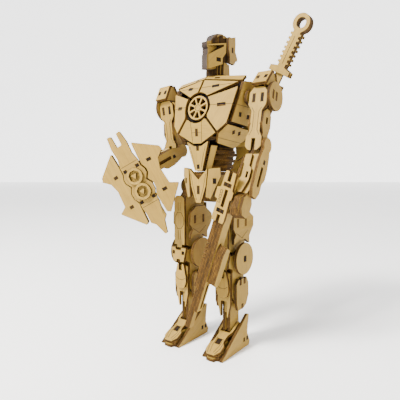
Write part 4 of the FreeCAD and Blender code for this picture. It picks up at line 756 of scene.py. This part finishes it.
def even_sky():
    world = bpy.data.worlds.new("Even white")
    world.use_nodes = True
    sky = world.node_tree.nodes["Background"]
    sky.inputs["Color"].default_value = (1.0, 0.99, 0.97, 1)
    sky.inputs["Strength"].default_value = 0.8
    return world


def place_camera():
    place = (CAMERA_REACH * math.sin(CAMERA_TURN) + CAMERA_AIM[0],
             -CAMERA_REACH * math.cos(CAMERA_TURN) + CAMERA_AIM[1], CAMERA_HEIGHT)
    bpy.ops.object.camera_add(location=place, rotation=(math.radians(90 - CAMERA_DIP), 0, CAMERA_TURN))
    camera = bpy.context.object
    camera.data.lens = 35.2
    camera.data.sensor_width = 36
    camera.data.shift_x = -0.0476
    camera.data.clip_start = 0.01
    return camera


class FIGURE_OT_stage(bpy.types.Operator):
    """Pale floor, lit backdrop, even sky, soft lights and the camera"""
    bl_idname = "figure.stage"
    bl_label = "Stage"

    def execute(self, context):
        scene = context.scene
        bpy.ops.object.select_all(action="DESELECT")
        tone = tuple(scene.figure_colours.floor)
        floor = lay_floor(tone)
        wall = raise_backdrop(tone, 5)
        scene.world = even_sky()
        middle = (0, 0, 0.16)
        key = soft_light("key", (-0.35, -1.0, 1.15), middle, 0.35, 60.0, (1.0, 0.97, 0.92))
        fill = soft_light("fill", (1.3, -0.6, 0.5), middle, 0.9, 14.0, (1.0, 0.93, 0.83))
        sun = sunlight((-0.6, -1.2, 1.6), middle)
        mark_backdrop(floor, wall, key, fill, sun)
        scene.camera = place_camera()
        return {"FINISHED"}


class FIGURE_PT_panel(bpy.types.Panel):
    """Sidebar list of the figure's parts, sizes and colours"""
    bl_idname = "FIGURE_PT_panel"
    bl_label = "Plywood figure"
    bl_space_type = "VIEW_3D"
    bl_region_type = "UI"
    bl_category = "Figure"

    def draw(self, context):
        for group in (context.scene.figure_sizes, context.scene.figure_colours):
            for name in group.bl_rna.properties.keys():
                if name not in ("rna_type", "name"):
                    self.layout.prop(group, name)
        for operator in OPERATORS:
            self.layout.operator(operator.bl_idname)


OPERATORS = (FIGURE_OT_head, FIGURE_OT_breast, FIGURE_OT_trunk, FIGURE_OT_hips, FIGURE_OT_sword,
             FIGURE_OT_arms, FIGURE_OT_gun, FIGURE_OT_shield, FIGURE_OT_legs, FIGURE_OT_feet,
             FIGURE_OT_stage)
CLASSES = (FigureSizes, FigureColours) + OPERATORS + (FIGURE_PT_panel,)


def register():
    for item in CLASSES:
        bpy.utils.register_class(item)
    bpy.types.Scene.figure_sizes = bpy.props.PointerProperty(type=FigureSizes)
    bpy.types.Scene.figure_colours = bpy.props.PointerProperty(type=FigureColours)


def unregister():
    del bpy.types.Scene.figure_colours
    del bpy.types.Scene.figure_sizes
    for item in reversed(CLASSES):
        bpy.utils.unregister_class(item)


def plain(value):
    """The same value in lists, dictionaries and numbers only, ready for a JSON file."""
    if isinstance(value, dict):
        return {key: plain(item) for key, item in value.items()}
    if isinstance(value, (str, int, float, bool)) or value is None:
        return value
    return [plain(item) for item in value]


def main():
    register()
    sizes = {"frame": plain(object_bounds())}
    bpy.ops.figure.head()
    bpy.ops.figure.breast()
    bpy.ops.figure.trunk()
    bpy.ops.figure.hips()
    bpy.ops.figure.sword()
    bpy.ops.figure.arms()
    bpy.ops.figure.gun()
    bpy.ops.figure.shield()
    bpy.ops.figure.legs()
    bpy.ops.figure.feet()
    bpy.ops.figure.stage()
    sizes["finished"] = plain(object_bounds())


if __name__ == "__main__":
    main()
